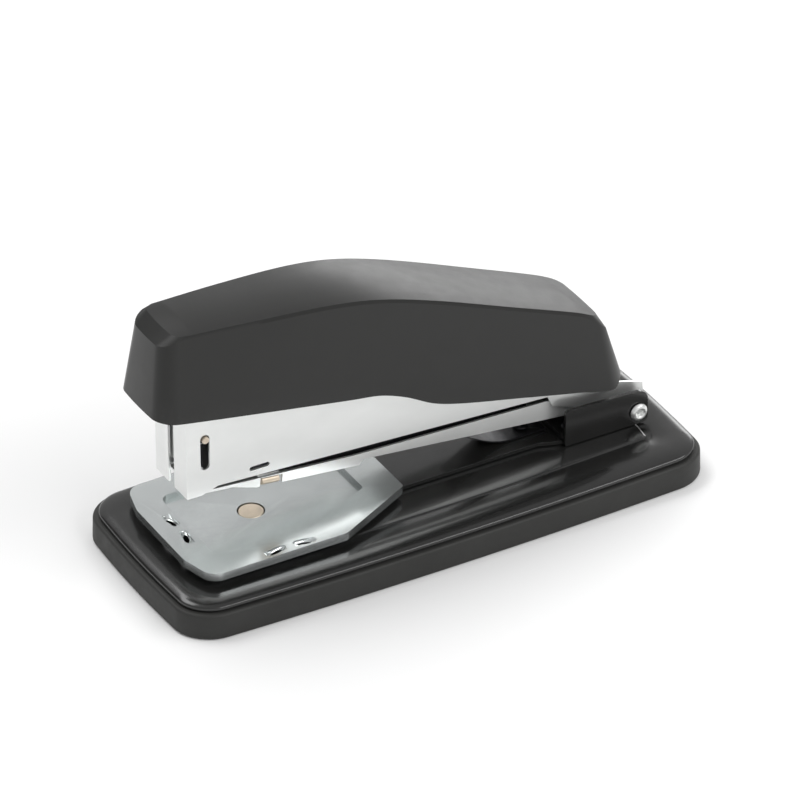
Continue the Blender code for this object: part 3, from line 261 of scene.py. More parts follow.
# The plate's lighter edge colour is partly wear and partly a painted highlight along its edges.
SATIN_ZINC = Finish("satin_zinc_plate", Slot.PLATE, (0.68, 0.71, 0.71), 1.0, rough=(0.20, 0.26),
                    drift=0.10, patch=26.0, grain=2500.0, grain_depth=0.0000007,
                    wave_depth=0.00001, edge_wear_and_highlight=(0.72, 0.75, 0.75), edge_wear_and_highlight_band=(0.68, 0.82))
BRIGHT_NICKEL = Finish("bright_nickel_sheet", Slot.NICKEL, (0.80, 0.81, 0.80), 0.8,
                       rough=(0.30, 0.38), drift=0.04, patch=30.0, stretch=(1.0, 1.0, 2.0),
                       grain=2500.0, grain_depth=0.000001, wave_depth=0.00001,
                       edge_wear_and_highlight=(0.9, 0.9, 0.89), edge_wear_and_highlight_band=(0.68, 0.82))
WARM_METAL = Finish("warm_rivet_metal", Slot.WARM, (0.64, 0.55, 0.44), 0.85, rough=(0.34, 0.5),
                    drift=0.1, patch=300.0, edge_wear_and_highlight=(0.8, 0.72, 0.6))
DARK_STEEL = Finish("oxide_black_steel", Slot.DARK, (0.03, 0.03, 0.033), 0.9, rough=(0.35, 0.5),
                    drift=0.2, patch=150.0, edge_wear_and_highlight=(0.2, 0.2, 0.2))
COVER_PLASTIC = Finish("satin_black_plastic", Slot.PLASTIC, (0.014, 0.014, 0.0132),
                       rough=(0.33, 0.39), drift=0.05, grain=5200.0, grain_depth=0.000001,
                       edge_wear_and_highlight=(0.045, 0.045, 0.043), specular=0.36)


# ---------------------------------------------------------------- mesh tools

def object_of(name: str, mesh: bpy.types.Mesh) -> bpy.types.Object:
    """Link an object of a mesh at the origin and return it."""
    obj = bpy.data.objects.new(name, mesh)
    bpy.context.scene.collection.objects.link(obj)
    return obj


def baked(obj: bpy.types.Object) -> bpy.types.Object:
    """Turn an object's modifiers into its plain mesh.

    Args:
        obj: An object at the origin with modifiers.

    Returns:
        The same object without modifiers.
    """
    graph = bpy.context.evaluated_depsgraph_get()
    mesh = bpy.data.meshes.new_from_object(obj.evaluated_get(graph))
    obj.modifiers.clear()
    obj.data = mesh
    return obj


def rounded_edges(obj: bpy.types.Object, width: float, segments: int = 2,
                  angle: float = radians(28), crisp: float | None = None) -> bpy.types.Object:
    """Round an object's sharp edges and bake the result.

    Args:
        obj: The object.
        width: Width of the round in metres.
        segments: Steps of the round.
        angle: Edges sharper than this are rounded.
        crisp: Edges sharper than this stay crisp in the shading, or None for none.

    Returns:
        The same object.
    """
    modifier = obj.modifiers.new("rounds", "BEVEL")
    modifier.width = width
    modifier.segments = segments
    modifier.limit_method = "ANGLE"
    modifier.angle_limit = angle
    modifier.use_clamp_overlap = True
    modifier.miter_outer = "MITER_ARC"
    baked(obj)
    obj.data.shade_smooth()
    if crisp is not None:
        obj.data.set_sharp_from_angle(angle=crisp)
    weights = obj.modifiers.new("flat_faces", "WEIGHTED_NORMAL")
    weights.keep_sharp = crisp is not None
    weights.weight = 90
    return baked(obj)


def copy_of_node(node: str, name: str) -> bpy.types.Object:
    """Return a merged copy of a CAD node's mesh, with its flat faces joined.

    Args:
        node: The CAD node.
        name: The piece's name.

    Returns:
        The new piece.
    """
    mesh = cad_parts[node].data.copy()
    mesh.materials.clear()
    shape = bmesh.new()
    shape.from_mesh(mesh)
    bmesh.ops.remove_doubles(shape, verts=shape.verts, dist=MERGE)
    bmesh.ops.dissolve_limit(shape, angle_limit=radians(0.6), verts=shape.verts, edges=shape.edges)
    shape.to_mesh(mesh)
    shape.free()
    return object_of(name, mesh)


def finish_piece(obj: bpy.types.Object, finish: Finish, carrier: Carrier,
                 replaced: Sequence[str]) -> bpy.types.Object:
    """Dress a piece, let it ride and hide the CAD nodes that it stands for.

    Args:
        obj: The piece.
        finish: Its finish.
        carrier: The body that it rides on.
        replaced: CAD nodes that it replaces.

    Returns:
        The same piece.
    """
    obj.data.materials.clear()
    obj.data.materials.append(finish.material())
    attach(obj, carrier.value)
    if replaced:
        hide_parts(*replaced)
    LOG.info("%s rides on %s: %d faces", obj.name, carrier.value, len(obj.data.polygons))
    return obj


def dress_node(node: str, finish: Finish) -> None:
    """Give a carried-over CAD node its finish."""
    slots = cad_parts[node].data.materials
    slots.clear()
    slots.append(finish.material())
    LOG.info("%s keeps its shape and gets %s", node, finish.name)


def smooth_line(points: Line, x: float) -> float:
    """Read a smooth line through points at a place along it.

    Args:
        points: (place, value) pairs in rising order.
        x: The place.

    Returns:
        The value there.
    """
    x = min(max(x, points[0][0]), points[-1][0])
    i = 0
    while i < len(points) - 2 and x > points[i + 1][0]:
        i += 1

    def slope(k: int) -> float:
        """Return the line's slope at a point."""
        low = points[max(k - 1, 0)]
        high = points[min(k + 1, len(points) - 1)]
        return (high[1] - low[1]) / (high[0] - low[0])

    (x0, z0), (x1, z1) = points[i], points[i + 1]
    span = x1 - x0
    t = (x - x0) / span
    return (z0 * (1 + 2 * t) * (1 - t) ** 2 + slope(i) * span * t * (1 - t) ** 2
            + z1 * t * t * (3 - 2 * t) + slope(i + 1) * span * t * t * (t - 1))


def piece_of_faces(name: str, points: Sequence[Point],
                   faces: Sequence[Sequence[int]]) -> bpy.types.Object:
    """Make a piece of lofted faces given in millimetres, its normals facing out."""
    mesh = bpy.data.meshes.new(name)
    mesh.from_pydata([Vector(point) * MM for point in points], [], [list(face) for face in faces])
    shape = bmesh.new()
    shape.from_mesh(mesh)
    bmesh.ops.recalc_face_normals(shape, faces=shape.faces)
    shape.to_mesh(mesh)
    shape.free()
    return object_of(name, mesh)


# ---------------------------------------------------------------- geometry node trees

class NodeRecipe:
    """A Geometry Nodes tree with named inputs that ends in realized, dressed geometry."""

    def __init__(self, name: str, sizes: dict[str, float]) -> None:
        """Start a tree.

        Args:
            name: The tree's name.
            sizes: Named inputs and their values.
        """
        self.sizes = sizes
        self.tree = bpy.data.node_groups.new(name, "GeometryNodeTree")
        face = self.tree.interface
        face.new_socket("Geometry", in_out="INPUT", socket_type="NodeSocketGeometry")
        for size in sizes:
            face.new_socket(size, in_out="INPUT", socket_type="NodeSocketFloat")
        face.new_socket("Geometry", in_out="OUTPUT", socket_type="NodeSocketGeometry")
        self.entry = self.tree.nodes.new("NodeGroupInput")
        self.exit = self.tree.nodes.new("NodeGroupOutput")

    def add(self, kind: str, **inputs: object) -> bpy.types.Node:
        """Add a node and set or join its inputs, named with spaces as underscores."""
        node = self.tree.nodes.new(kind)
        for key, value in inputs.items():
            self.feed(node, key.replace("_", " "), value)
        return node

    def feed(self, node: bpy.types.Node, socket: str, value: object) -> None:
        """Join one input of a node to a socket, or set its value."""
        if isinstance(value, bpy.types.NodeSocket):
            self.tree.links.new(value, node.inputs[socket])
        else:
            node.inputs[socket].default_value = value

    def size(self, name: str) -> bpy.types.NodeSocket:
        """Return a named input's socket."""
        return self.entry.outputs[name]

    def math(self, operation: str, first: object, second: object) -> bpy.types.NodeSocket:
        """Return the result of a two-value operation."""
        node = self.tree.nodes.new("ShaderNodeMath")
        node.operation = operation
        for socket, value in zip(node.inputs, (first, second)):
            if isinstance(value, bpy.types.NodeSocket):
                self.tree.links.new(value, socket)
            else:
                socket.default_value = value
        return node.outputs[0]

    def bake(self, name: str, geometry: bpy.types.NodeSocket, finish: Finish,
             host: bpy.types.Mesh | None = None) -> bpy.types.Object:
        """End the tree, run it on a host mesh and keep the result as a plain mesh.

        Args:
            name: The piece's name.
            geometry: The last geometry socket.
            finish: The finish that the tree sets.
            host: The mesh that the tree works on, or None for an empty one.

        Returns:
            The piece.
        """
        real = self.add("GeometryNodeRealizeInstances", Geometry=geometry)
        smooth = self.add("GeometryNodeSetShadeSmooth", Geometry=real.outputs["Geometry"])
        dressed = self.add("GeometryNodeSetMaterial", Geometry=smooth.outputs["Geometry"])
        dressed.inputs["Material"].default_value = finish.material()
        self.tree.links.new(dressed.outputs["Geometry"], self.exit.inputs["Geometry"])
        obj = object_of(name, host or bpy.data.meshes.new(name))
        modifier = obj.modifiers.new("recipe", "NODES")
        modifier.node_group = self.tree
        for item in self.tree.interface.items_tree:
            if item.in_out == "INPUT" and item.name in self.sizes:
                modifier[item.identifier] = self.sizes[item.name]
        baked(obj)
        obj.data.set_sharp_from_angle(angle=radians(40))
        return obj


@dataclass
class CoilSpring:
    """A round coil spring swept along a spiral by a node tree.

    Attributes:
        node: The CAD node it replaces.
        carrier: The body it rides on.
        turns: Number of turns.
        wire: Wire diameter in metres.
        lean: Turn about Y that points the coil's axis along its spring.
    """

    node: str
    carrier: Carrier
    turns: float
    wire: float
    lean: float

    def build(self) -> bpy.types.Object:
        """Make the coil where its CAD node lies and return it."""
        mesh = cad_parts[self.node].data
        upright = Matrix.Rotation(-self.lean, 4, "Y")
        spots = [upright @ vertex.co for vertex in mesh.vertices]
        low = Vector([min(spot[axis] for spot in spots) for axis in range(3)])
        high = Vector([max(spot[axis] for spot in spots) for axis in range(3)])
        foot = Vector(((low.x + high.x) / 2, (low.y + high.y) / 2, low.z + self.wire / 2))
        foot = Matrix.Rotation(self.lean, 4, "Y") @ foot
        recipe = NodeRecipe(f"{self.node}_recipe", {
            "Mean Radius": (high.y - low.y - self.wire) / 2,
            "Wire Radius": self.wire / 2,
            "Length": high.z - low.z - self.wire,
            "Turns": self.turns,
        })
        spiral = recipe.add("GeometryNodeCurveSpiral", Resolution=40,
                            Rotations=recipe.size("Turns"), Start_Radius=recipe.size("Mean Radius"),
                            End_Radius=recipe.size("Mean Radius"), Height=recipe.size("Length"))
        ring = recipe.add("GeometryNodeCurvePrimitiveCircle", Resolution=12,
                          Radius=recipe.size("Wire Radius"))
        wire = recipe.add("GeometryNodeCurveToMesh", Curve=spiral.outputs[0],
                          Profile_Curve=ring.outputs[0], Fill_Caps=True)
        placed = recipe.add("GeometryNodeTransform", Geometry=wire.outputs[0])
        placed.inputs["Translation"].default_value = foot
        placed.inputs["Rotation"].default_value = (0.0, self.lean, 0.0)
        piece = recipe.bake(f"{self.node}_coil", placed.outputs[0], BRIGHT_NICKEL)
        return finish_piece(piece, BRIGHT_NICKEL, self.carrier, [self.node])


@dataclass
class RivetRow:
    """Domed rivets set on points by a node tree, one mesh for the body.

    Attributes:
        nodes: CAD rivets that the row replaces.
        carrier: The body they ride on.
        finish: Their finish.
        name: The piece's name.
    """

    nodes: list[str]
    carrier: Carrier
    finish: Finish
    name: str

    def build(self) -> bpy.types.Object:
        """Make one rivet on each CAD rivet's place and return the piece."""
        boxes = [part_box(node) for node in self.nodes]
        low, high = boxes[0]
        host = bpy.data.meshes.new(self.name)
        host.from_pydata([((a.x + b.x) / 2, (a.y + b.y) / 2, a.z) for a, b in boxes], [], [])
        recipe = NodeRecipe(f"{self.name}_recipe", {
            "Head Radius": (high.x - low.x) / 2,
            "Shank Radius": (high.x - low.x) / 4,
            "Height": high.z - low.z,
            "Head Height": 0.7 * MM,
        })
        shank_height = recipe.math("SUBTRACT", recipe.size("Height"), recipe.size("Head Height"))
        shank = recipe.add("GeometryNodeMeshCylinder", Vertices=28,
                           Radius=recipe.size("Shank Radius"), Depth=shank_height)
        shank_middle = recipe.math("MULTIPLY", shank_height, 0.5)
        shank_place = self.lifted(recipe, shank.outputs[0], shank_middle)
        dome = recipe.add("GeometryNodeMeshUVSphere", Segments=28, Rings=12,
                          Radius=recipe.size("Head Radius"))
        flat = recipe.add("GeometryNodeTransform", Geometry=dome.outputs[0])
        flat.inputs["Scale"].default_value = (1.0, 1.0, 0.35)
        dome_place = self.lifted(recipe, flat.outputs[0], shank_height)
        joined = recipe.add("GeometryNodeMeshBoolean")
        joined.operation = "UNION"
        recipe.tree.links.new(dome_place, joined.inputs[1])
        recipe.tree.links.new(shank_place, joined.inputs[1])
        spots = recipe.add("GeometryNodeMeshToPoints", Mesh=recipe.entry.outputs["Geometry"])
        rivets = recipe.add("GeometryNodeInstanceOnPoints", Points=spots.outputs[0],
                            Instance=joined.outputs[0])
        piece = recipe.bake(self.name, rivets.outputs[0], self.finish, host)
        return finish_piece(piece, self.finish, self.carrier, self.nodes)

    @staticmethod
    def lifted(recipe: NodeRecipe, geometry: bpy.types.NodeSocket,
               height: bpy.types.NodeSocket) -> bpy.types.NodeSocket:
        """Return a geometry raised by a height."""
        offset = recipe.add("ShaderNodeCombineXYZ", Z=height)
        moved = recipe.add("GeometryNodeTransform", Geometry=geometry,
                           Translation=offset.outputs[0])
        return moved.outputs[0]


# ---------------------------------------------------------------- sub-assemblies

@dataclass
class PressedPart:
    """A CAD part kept in shape, with its sharp edges rounded as pressing leaves them.

    Attributes:
        node: The CAD node.
        finish: Its finish.
        carrier: The body it rides on.
        round: Width of the rounds in millimetres.
        segments: Steps of a round.
    """

    node: str
    finish: Finish
    carrier: Carrier
    round: float = 0.14
    segments: int = 2

    def build(self) -> bpy.types.Object:
        """Make the rounded part and return it."""
        piece = copy_of_node(self.node, f"{self.node}_pressed")
        rounded_edges(piece, self.round * MM, self.segments)
        return finish_piece(piece, self.finish, self.carrier, [self.node])


@dataclass
class AnvilPlate:
    """Pressed anvil plate with three pairs of curved clinch grooves.

    Attributes:
        radius: From the swivel axis to each pair.
        spread: Middle of a pair to the middle of each groove.
        groove: Half sizes of a groove: across, along and down.
        toe: How far each groove turns towards the axis, in degrees.
        round: Width of the rounds in millimetres.
    """

    radius: float = 20.0
    spread: float = 3.9
    groove: Point = (1.15, 3.0, 1.0)
    toe: float = 14.0
    round: float = 0.28

    def groove_tool(self, turn: float, side: int) -> bpy.types.Object:
        """Return the cutter of one groove.

        Args:
            turn: Direction of the pair from the swivel axis, in degrees from the nose.
            side: -1 or 1, the groove's side of the pair.

        Returns:
            An object that is removed after the cut.
        """
        low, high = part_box("anvil_post")
        axis = (low + high) / 2
        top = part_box("anvil_plate")[1].z
        shape = bmesh.new()
        bmesh.ops.create_uvsphere(shape, u_segments=48, v_segments=32, radius=1.0)
        across, along, down = (size * MM for size in self.groove)
        place = (Matrix.Translation((axis.x, axis.y, top)) @ Matrix.Rotation(radians(turn), 4, "Z")
                 @ Matrix.Translation((-self.radius * MM, side * self.spread * MM, 0.0))
                 @ Matrix.Rotation(radians(side * self.toe), 4, "Z")
                 @ Matrix.Diagonal((across, along, down, 1.0)))
        bmesh.ops.transform(shape, matrix=place, verts=shape.verts)
        mesh = bpy.data.meshes.new("groove_tool")
        shape.to_mesh(mesh)
        shape.free()
        return object_of("groove_tool", mesh)

    def build(self) -> bpy.types.Object:
        """Make the plate and return it."""
        piece = copy_of_node("anvil_plate", "anvil_plate_pressed")
        tools = [self.groove_tool(turn, side) for turn in (0, 90, -90) for side in (-1, 1)]
        for tool in tools:
            cut = piece.modifiers.new(tool.name, "BOOLEAN")
            cut.operation = "DIFFERENCE"
            cut.solver = "EXACT"
            cut.object = tool
        baked(piece)
        for tool in tools:
            bpy.data.objects.remove(tool, do_unlink=True)
        rounded_edges(piece, self.round * MM, 6, crisp=radians(16))
        return finish_piece(piece, SATIN_ZINC, Carrier.BASE, ["anvil_plate"])


@dataclass
class Base:
    """Rubber pad and enamelled pan, lofted through bowed rings.

    Attributes:
        corner: Corner radius of the pad.
        side_bow: How far the long sides bow out.
        end_bow: How far the ends bow out.
        arc_steps: Points on a corner.
        pan_inset: The groove's depth between pad and pan.
        edge_side: Where the pan's rounded edge ends on the long sides.
        edge_end: Where it ends at nose and rear.
        step_inset: Where the shallow step line runs.
        step: Height of the step line.
        lip: Width of the pad's rounded lips.
        shoulder: Height of the pad's outer shoulder.
        seat: Inset of the pad's raised seat.
        seat_top: Where the seat starts to slope in.
        plateau: Inset of the pad's top at the ends and at the sides.
        face_top: Where the pan's upright face ends.
        pan_seat: Inset of the pan's underside.
        pan_foot: Width of the cut under the pan's edge.
    """

    corner: float = 9.5
    side_bow: float = 1.67
    end_bow: float = 1.24
    arc_steps: int = 18
    pan_inset: float = 1.5
    edge_side: float = 6.9
    edge_end: float = 4.7
    step_inset: float = 12.0
    step: float = 0.18
    lip: float = 0.8
    shoulder: float = 7.0
    seat: float = 3.0
    seat_top: float = 7.3
    plateau: tuple[float, float] = (5.5, 6.5)
    face_top: float = 8.0
    pan_seat: float = 2.7
    pan_foot: float = 0.2
    half_length: float = field(init=False)
    half_width: float = field(init=False)

    def __post_init__(self) -> None:
        """Read the pad's size from the frame."""
        low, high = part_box("base_pad")
        self.half_length = (high.x - low.x) / 2 / MM
        self.half_width = (high.y - low.y) / 2 / MM

    def ring(self, end: float, side: float, z: float) -> list[Point]:
        """Return the bowed outline moved inwards at one height.

        Args:
            end: Inset at nose and rear.
            side: Inset at the long sides.
            z: Height.

        Returns:
            Points in millimetres.
        """
        length = self.half_length - end
        width = self.half_width - side
        radius = max(self.corner - (end + side) / 3, 1.0)
        flat: list[tuple[float, float]] = []
        for sx, sy, start in ((1, 1, 0), (-1, 1, 90), (-1, -1, 180), (1, -1, 270)):
            for i in range(self.arc_steps + 1):
                angle = radians(start + 90 * i / self.arc_steps)
                flat.append((sx * (length - radius) + radius * cos(angle),
                             sy * (width - radius) + radius * sin(angle)))
            last = Vector(flat[-1])
            target = Vector((-last.x, last.y)) if sx == sy else Vector((last.x, -last.y))
            steps = 24 if sx == sy else 12
            flat += [tuple(last.lerp(target, i / steps)) for i in range(1, steps)]
        points: list[Point] = []
        for x, y in flat:
            end_pull = 1 - self.end_bow / length * (y / width) ** 2
            side_pull = 1 - self.side_bow / width * (x / length) ** 2
            points.append((x * end_pull, y * side_pull, z))
        return points

    def loft(self, name: str, rings: list[list[Point]]) -> bpy.types.Object:
        """Loft a closed solid through rings and return it."""
        count = len(rings[0])
        points = [point for ring in rings for point in ring]
        faces: list[Sequence[int]] = [range(count), range(len(points) - count, len(points))]
        for level in range(len(rings) - 1):
            start = level * count
            for i in range(count):
                j = (i + 1) % count
                faces.append((start + i, start + j, start + count + j, start + count + i))
        piece = piece_of_faces(name, points, faces)
        piece.data.shade_smooth()
        piece.data.set_sharp_from_angle(angle=radians(30))
        return piece

    def pad(self) -> bpy.types.Object:
        """Make the rubber pad and return it."""
        low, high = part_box("base_pad")
        rings = [self.ring(self.lip, self.lip, low.z / MM)]
        for i in range(1, 6):
            angle = pi / 2 * i / 5
            inset = self.lip * (1 - sin(angle))
            rings.append(self.ring(inset, inset, self.lip * (1 - cos(angle))))
        for i in range(6):
            angle = pi / 2 * i / 5
            inset = 0.15 + self.lip * (1 - cos(angle))
            rings.append(self.ring(inset, inset, self.shoulder - self.lip * (1 - sin(angle))))
        rings.append(self.ring(self.seat, self.seat, self.shoulder))
        rings.append(self.ring(self.seat, self.seat, self.seat_top))
        rings.append(self.ring(*self.plateau, high.z / MM))
        return finish_piece(self.loft("pad_skirt", rings), PAD_RUBBER, Carrier.BASE, ["base_pad"])

    def pan(self) -> bpy.types.Object:
        """Make the enamelled pan and return it."""
        low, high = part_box("base_pan")
        bottom = low.z / MM
        top = high.z / MM
        edge_top = top - self.step - 0.12
        foot = self.pan_inset + self.pan_foot
        rings = [self.ring(self.pan_seat, self.pan_seat, bottom), self.ring(foot, foot, bottom),
                 self.ring(self.pan_inset, self.pan_inset, bottom + self.pan_foot)]
        steps = 20
        for i in range(steps + 1):
            angle = pi / 2 * i / steps
            across = 1 - cos(angle)
            rings.append(self.ring(self.pan_inset + (self.edge_end - self.pan_inset) * across,
                                   self.pan_inset + (self.edge_side - self.pan_inset) * across,
                                   self.face_top + (edge_top - self.face_top) * sin(angle)))
        inset = self.step_inset
        rings.append(self.ring(inset - 0.15, inset - 0.15, top - self.step))
        rings.append(self.ring(inset, inset, top - self.step - 0.08))
        rings.append(self.ring(inset + 0.35, inset + 0.35, top - 0.04))
        rings.append(self.ring(inset + 0.6, inset + 0.6, top))
        return finish_piece(self.loft("pan_shell", rings), BLACK_ENAMEL, Carrier.BASE,
                            ["base_pan"])

    def build(self) -> None:
        """Make pad, pan, anvil and the fasteners between them."""
        self.pad()
        self.pan()
        AnvilPlate().build()
        PressedPart("anvil_post", WARM_METAL, Carrier.BASE, 0.1).build()
        for node in ("plate_stud_left", "plate_stud_right"):
            dress_node(node, BRIGHT_NICKEL)


@dataclass
class SwivelArm:
    """Arm, hinge bracket, leaf spring, rivets and the hinge pin."""

    bracket_round: float = 0.3
    arm_round: float = 0.2

    def build(self) -> None:
        """Make the arm's pieces."""
        PressedPart("swivel_arm", BLACK_ENAMEL, Carrier.ARM, self.arm_round).build()
        PressedPart("hinge_bracket", BLACK_ENAMEL, Carrier.ARM, self.bracket_round, 3).build()
        PressedPart("lift_spring", DARK_STEEL, Carrier.ARM, 0.08).build()
        PressedPart("hinge_pin", BRIGHT_NICKEL, Carrier.ARM, 0.08).build()
        rivets = [f"bracket_rivet_{row}_{hand}" for row in ("front", "rear")
                  for hand in ("left", "right")]
        RivetRow(rivets, Carrier.ARM, DARK_STEEL, "bracket_rivets").build()
        RivetRow(["lift_spring_rivet"], Carrier.ARM, DARK_STEEL, "leaf_rivet").build()


@dataclass
class Magazine:
    """Staple trough, rail, guide rod, pusher and their spring."""

    tilt: float = radians(6)

    def build(self) -> None:
        """Make the magazine's pieces."""
        PressedPart("staple_trough", BRIGHT_NICKEL, Carrier.MAGAZINE, 0.12).build()
        # The rail's black steel is painted shade: it keeps the narrow gap above the rail dark.
        PressedPart("staple_rail", DARK_STEEL, Carrier.MAGAZINE, 0.12).build()
        PressedPart("keel_roller", WARM_METAL, Carrier.MAGAZINE, 0.1).build()
        PressedPart("staple_pusher", BRIGHT_NICKEL, Carrier.PUSHER, 0.15).build()
        dress_node("guide_rod", BRIGHT_NICKEL)
        CoilSpring("pusher_spring", Carrier.MAGAZINE, 16, 0.4 * MM, pi / 2 + self.tilt).build()


@dataclass
class HeadFrame:
    """Head frame, its return spring and the driver."""

    frame_round: float = 0.25

    def build(self) -> None:
        """Make the head's pieces."""
        PressedPart("head_frame", BRIGHT_NICKEL, Carrier.HEAD, self.frame_round, 3).build()
        PressedPart("driver_blade", BRIGHT_NICKEL, Carrier.DRIVER, 0.12).build()
        PressedPart("driver_pin", WARM_METAL, Carrier.DRIVER, 0.1).build()
        CoilSpring("head_spring", Carrier.HEAD, 6, 0.9 * MM, 0.0).build()


@dataclass
class Cover:
    """Moulded cover, lofted through three rings and a crowned top.

    Attributes:
        wall: Wall thickness.
        ceiling: Thickness of the top.
        crown: How far the top rises in the middle.
        corner: Radius of the upright corners at the lip.
        sides: Stations along a side.
        arc_steps: Steps of an upright corner.
        cross_steps: Steps of half an end row's straight run.
        bows: How far the front end and the rear end bow out.
        edge_round: Width of the rounds on the shell's edges.
        front: Where lip, bevel and top end at the nose.
        rear: Where they end at the rear.
        bevel_drop: Height of the bevel under the top's edge.
        ridge_line: Height of the top's edge along the cover.
        lip_line: Height of the lip along the cover.
        ridge_halves: Half widths of the top along the cover.
        lip_halves: Half widths at the lip along the cover.
    """

    wall: float = 1.6
    ceiling: float = 1.8
    crown: float = 0.7
    corner: float = 4.6
    sides: int = 96
    arc_steps: int = 10
    cross_steps: int = 5
    bows: tuple[float, float] = (0.6, 0.3)
    edge_round: float = 0.5
    front: tuple[float, float, float] = (-71.6, -69.0, -65.5)
    rear: tuple[float, float, float] = (58.8, 54.8, 51.5)
    bevel_drop: float = 0.9
    ridge_line: Line = ((-66.0, 74.1), (-45.0, 73.2), (-25.0, 71.8), (-12.0, 69.5), (3.0, 64.6),
                        (28.0, 54.5), (45.0, 47.5), (51.5, 44.2))
    lip_line: Line = ((-71.6, 52.6), (-64.6, 51.3), (-40.0, 47.3), (-20.0, 44.0), (-12.0, 42.7),
                      (-5.0, 40.0), (3.0, 35.6), (11.0, 33.0), (27.8, 29.0), (45.0, 24.9),
                      (55.5, 22.6), (58.8, 25.6))
    ridge_halves: Line = ((-66.0, 8.3), (-40.0, 9.9), (-17.0, 10.7), (20.0, 10.6), (51.5, 10.0))
    lip_halves: Line = ((-71.6, 11.2), (-40.0, 11.9), (0.0, 12.2), (58.8, 11.8))

    def end_row(self, x_end: float, corner: float, half_width: Callable[[float], float],
                height: Callable[[float], float], rear: bool) -> list[Point]:
        """Return an end row of a ring, from the near side to the far side.

        Args:
            x_end: Where the end's middle stands.
            corner: Corner radius.
            half_width: Half width at a place.
            height: Height at a place.
            rear: Whether this is the rear end.

        Returns:
            Points in millimetres.
        """
        inward = -1 if rear else 1
        bow = self.bows[1] if rear else self.bows[0]
        centre_x = x_end + inward * corner
        half = half_width(centre_x)
        centre_y = half - corner
        near: list[tuple[float, float]] = []
        for i in range(self.arc_steps + 1):
            angle = pi / 2 * i / self.arc_steps
            near.append((centre_x - inward * corner * sin(angle),
                         -(centre_y + corner * cos(angle))))
        straight = [(x_end, -centre_y * (1 - i / self.cross_steps))
                    for i in range(1, 2 * self.cross_steps)]
        row = near + straight + [(x, -y) for x, y in reversed(near)]
        return [(x - inward * bow * (1 - (y / half) ** 2), y, height(x)) for x, y in row]

    def ring(self, x_front: float, x_rear: float, corner: float,
             half_width: Callable[[float], float], height: Callable[[float], float]
             ) -> tuple[list[Point], list[Point], list[Point]]:
        """Return a ring as its front row, rear row and near side stations."""
        front = self.end_row(x_front, corner, half_width, height, False)
        rear = self.end_row(x_rear, corner, half_width, height, True)
        start = x_front + corner
        span = x_rear - corner - start
        places = [start + span * i / self.sides for i in range(1, self.sides)]
        return front, rear, [(x, -half_width(x), height(x)) for x in places]

    def rings(self, inset: float,
              drop: float) -> list[tuple[list[Point], list[Point], list[Point]]]:
        """Return the rings from lip to top, moved in by a wall and down by a ceiling."""
        def lip_half(x: float) -> float:
            """Return the lip's half width."""
            return smooth_line(self.lip_halves, x) - inset

        def ridge_half(x: float) -> float:
            """Return the top's half width."""
            return smooth_line(self.ridge_halves, x) - inset

        def bevel_half(x: float) -> float:
            """Return the half width under the top's edge."""
            return ridge_half(x) + (0.35 if drop == 0 else 0.1)

        def lip(x: float) -> float:
            """Return the lip's height."""
            return smooth_line(self.lip_line, x)

        def ridge(x: float) -> float:
            """Return the top edge's height."""
            return smooth_line(self.ridge_line, x) - drop

        def bevel(x: float) -> float:
            """Return the height under the top's edge, lower at nose and rear."""
            nose = max(0.0, (self.front[2] + inset - x) / (self.front[2] - self.front[1]))
            tail = max(0.0, (x - self.rear[2] + 4.0 + inset) / (self.rear[1] - self.rear[2] + 4.0))
            return ridge(x) - self.bevel_drop - 1.6 * min(nose, 1.0) - 4.6 * min(tail, 1.0) ** 2

        corner = self.corner - inset * 0.8
        return [
            self.ring(self.front[0] + inset, self.rear[0] - inset, corner, lip_half, lip),
            self.ring(self.front[1] + inset, self.rear[1] - inset, corner * 0.85, bevel_half,
                      bevel),
            self.ring(self.front[2] + inset, self.rear[2] - inset, corner * 0.6, ridge_half,
                      ridge),
        ]

    def surface(self, rings: list[tuple[list[Point], list[Point], list[Point]]],
                points: list[Point], faces: list[Sequence[int]]) -> range:
        """Add walls through the rings and a crowned top.

        Args:
            rings: Rings from lip to top.
            points: The mesh's points, added to.
            faces: The mesh's faces, added to.

        Returns:
            Indices of the lip's loop.
        """
        loops: list[range] = []
        for front, rear, side in rings:
            far = [(x, -y, z) for x, y, z in side]
            loop = front + far + rear[::-1] + side[::-1]
            loops.append(range(len(points), len(points) + len(loop)))
            points += loop
        count = len(loops[0])
        for low, high in zip(loops, loops[1:]):
            for i in range(count):
                j = (i + 1) % count
                faces.append((low[i], low[j], high[j], high[i]))
        top = loops[-1]
        front, rear, side = rings[-1]
        columns = len(front)
        index: list[list[int]] = [[top[k] for k in range(columns)]]
        for s, (x, y, z) in enumerate(side):
            first = len(points)
            for k in range(1, columns - 1):
                share = front[k][1] / front[0][1]
                points.append((x, y * share, z + self.crown * (1 - share * share)))
            index.append([top[count - 1 - s], *range(first, first + columns - 2),
                          top[columns + s]])
        index.append([top[2 * columns + len(side) - 1 - k] for k in range(columns)])
        for row, following in zip(index, index[1:]):
            for k in range(columns - 1):
                faces.append((row[k], row[k + 1], following[k + 1], following[k]))
        return loops[0]

    def shell(self) -> bpy.types.Object:
        """Make the cover's shell and return it."""
        points: list[Point] = []
        faces: list[Sequence[int]] = []
        outer = self.surface(self.rings(0.0, 0.0), points, faces)
        inner = self.surface(self.rings(self.wall, self.ceiling), points, faces)
        for i in range(len(outer)):
            j = (i + 1) % len(outer)
            faces.append((outer[i], outer[j], inner[j], inner[i]))
        shell = piece_of_faces("cover_shell", points, faces)
        return rounded_edges(shell, self.edge_round * MM, 3, radians(17))

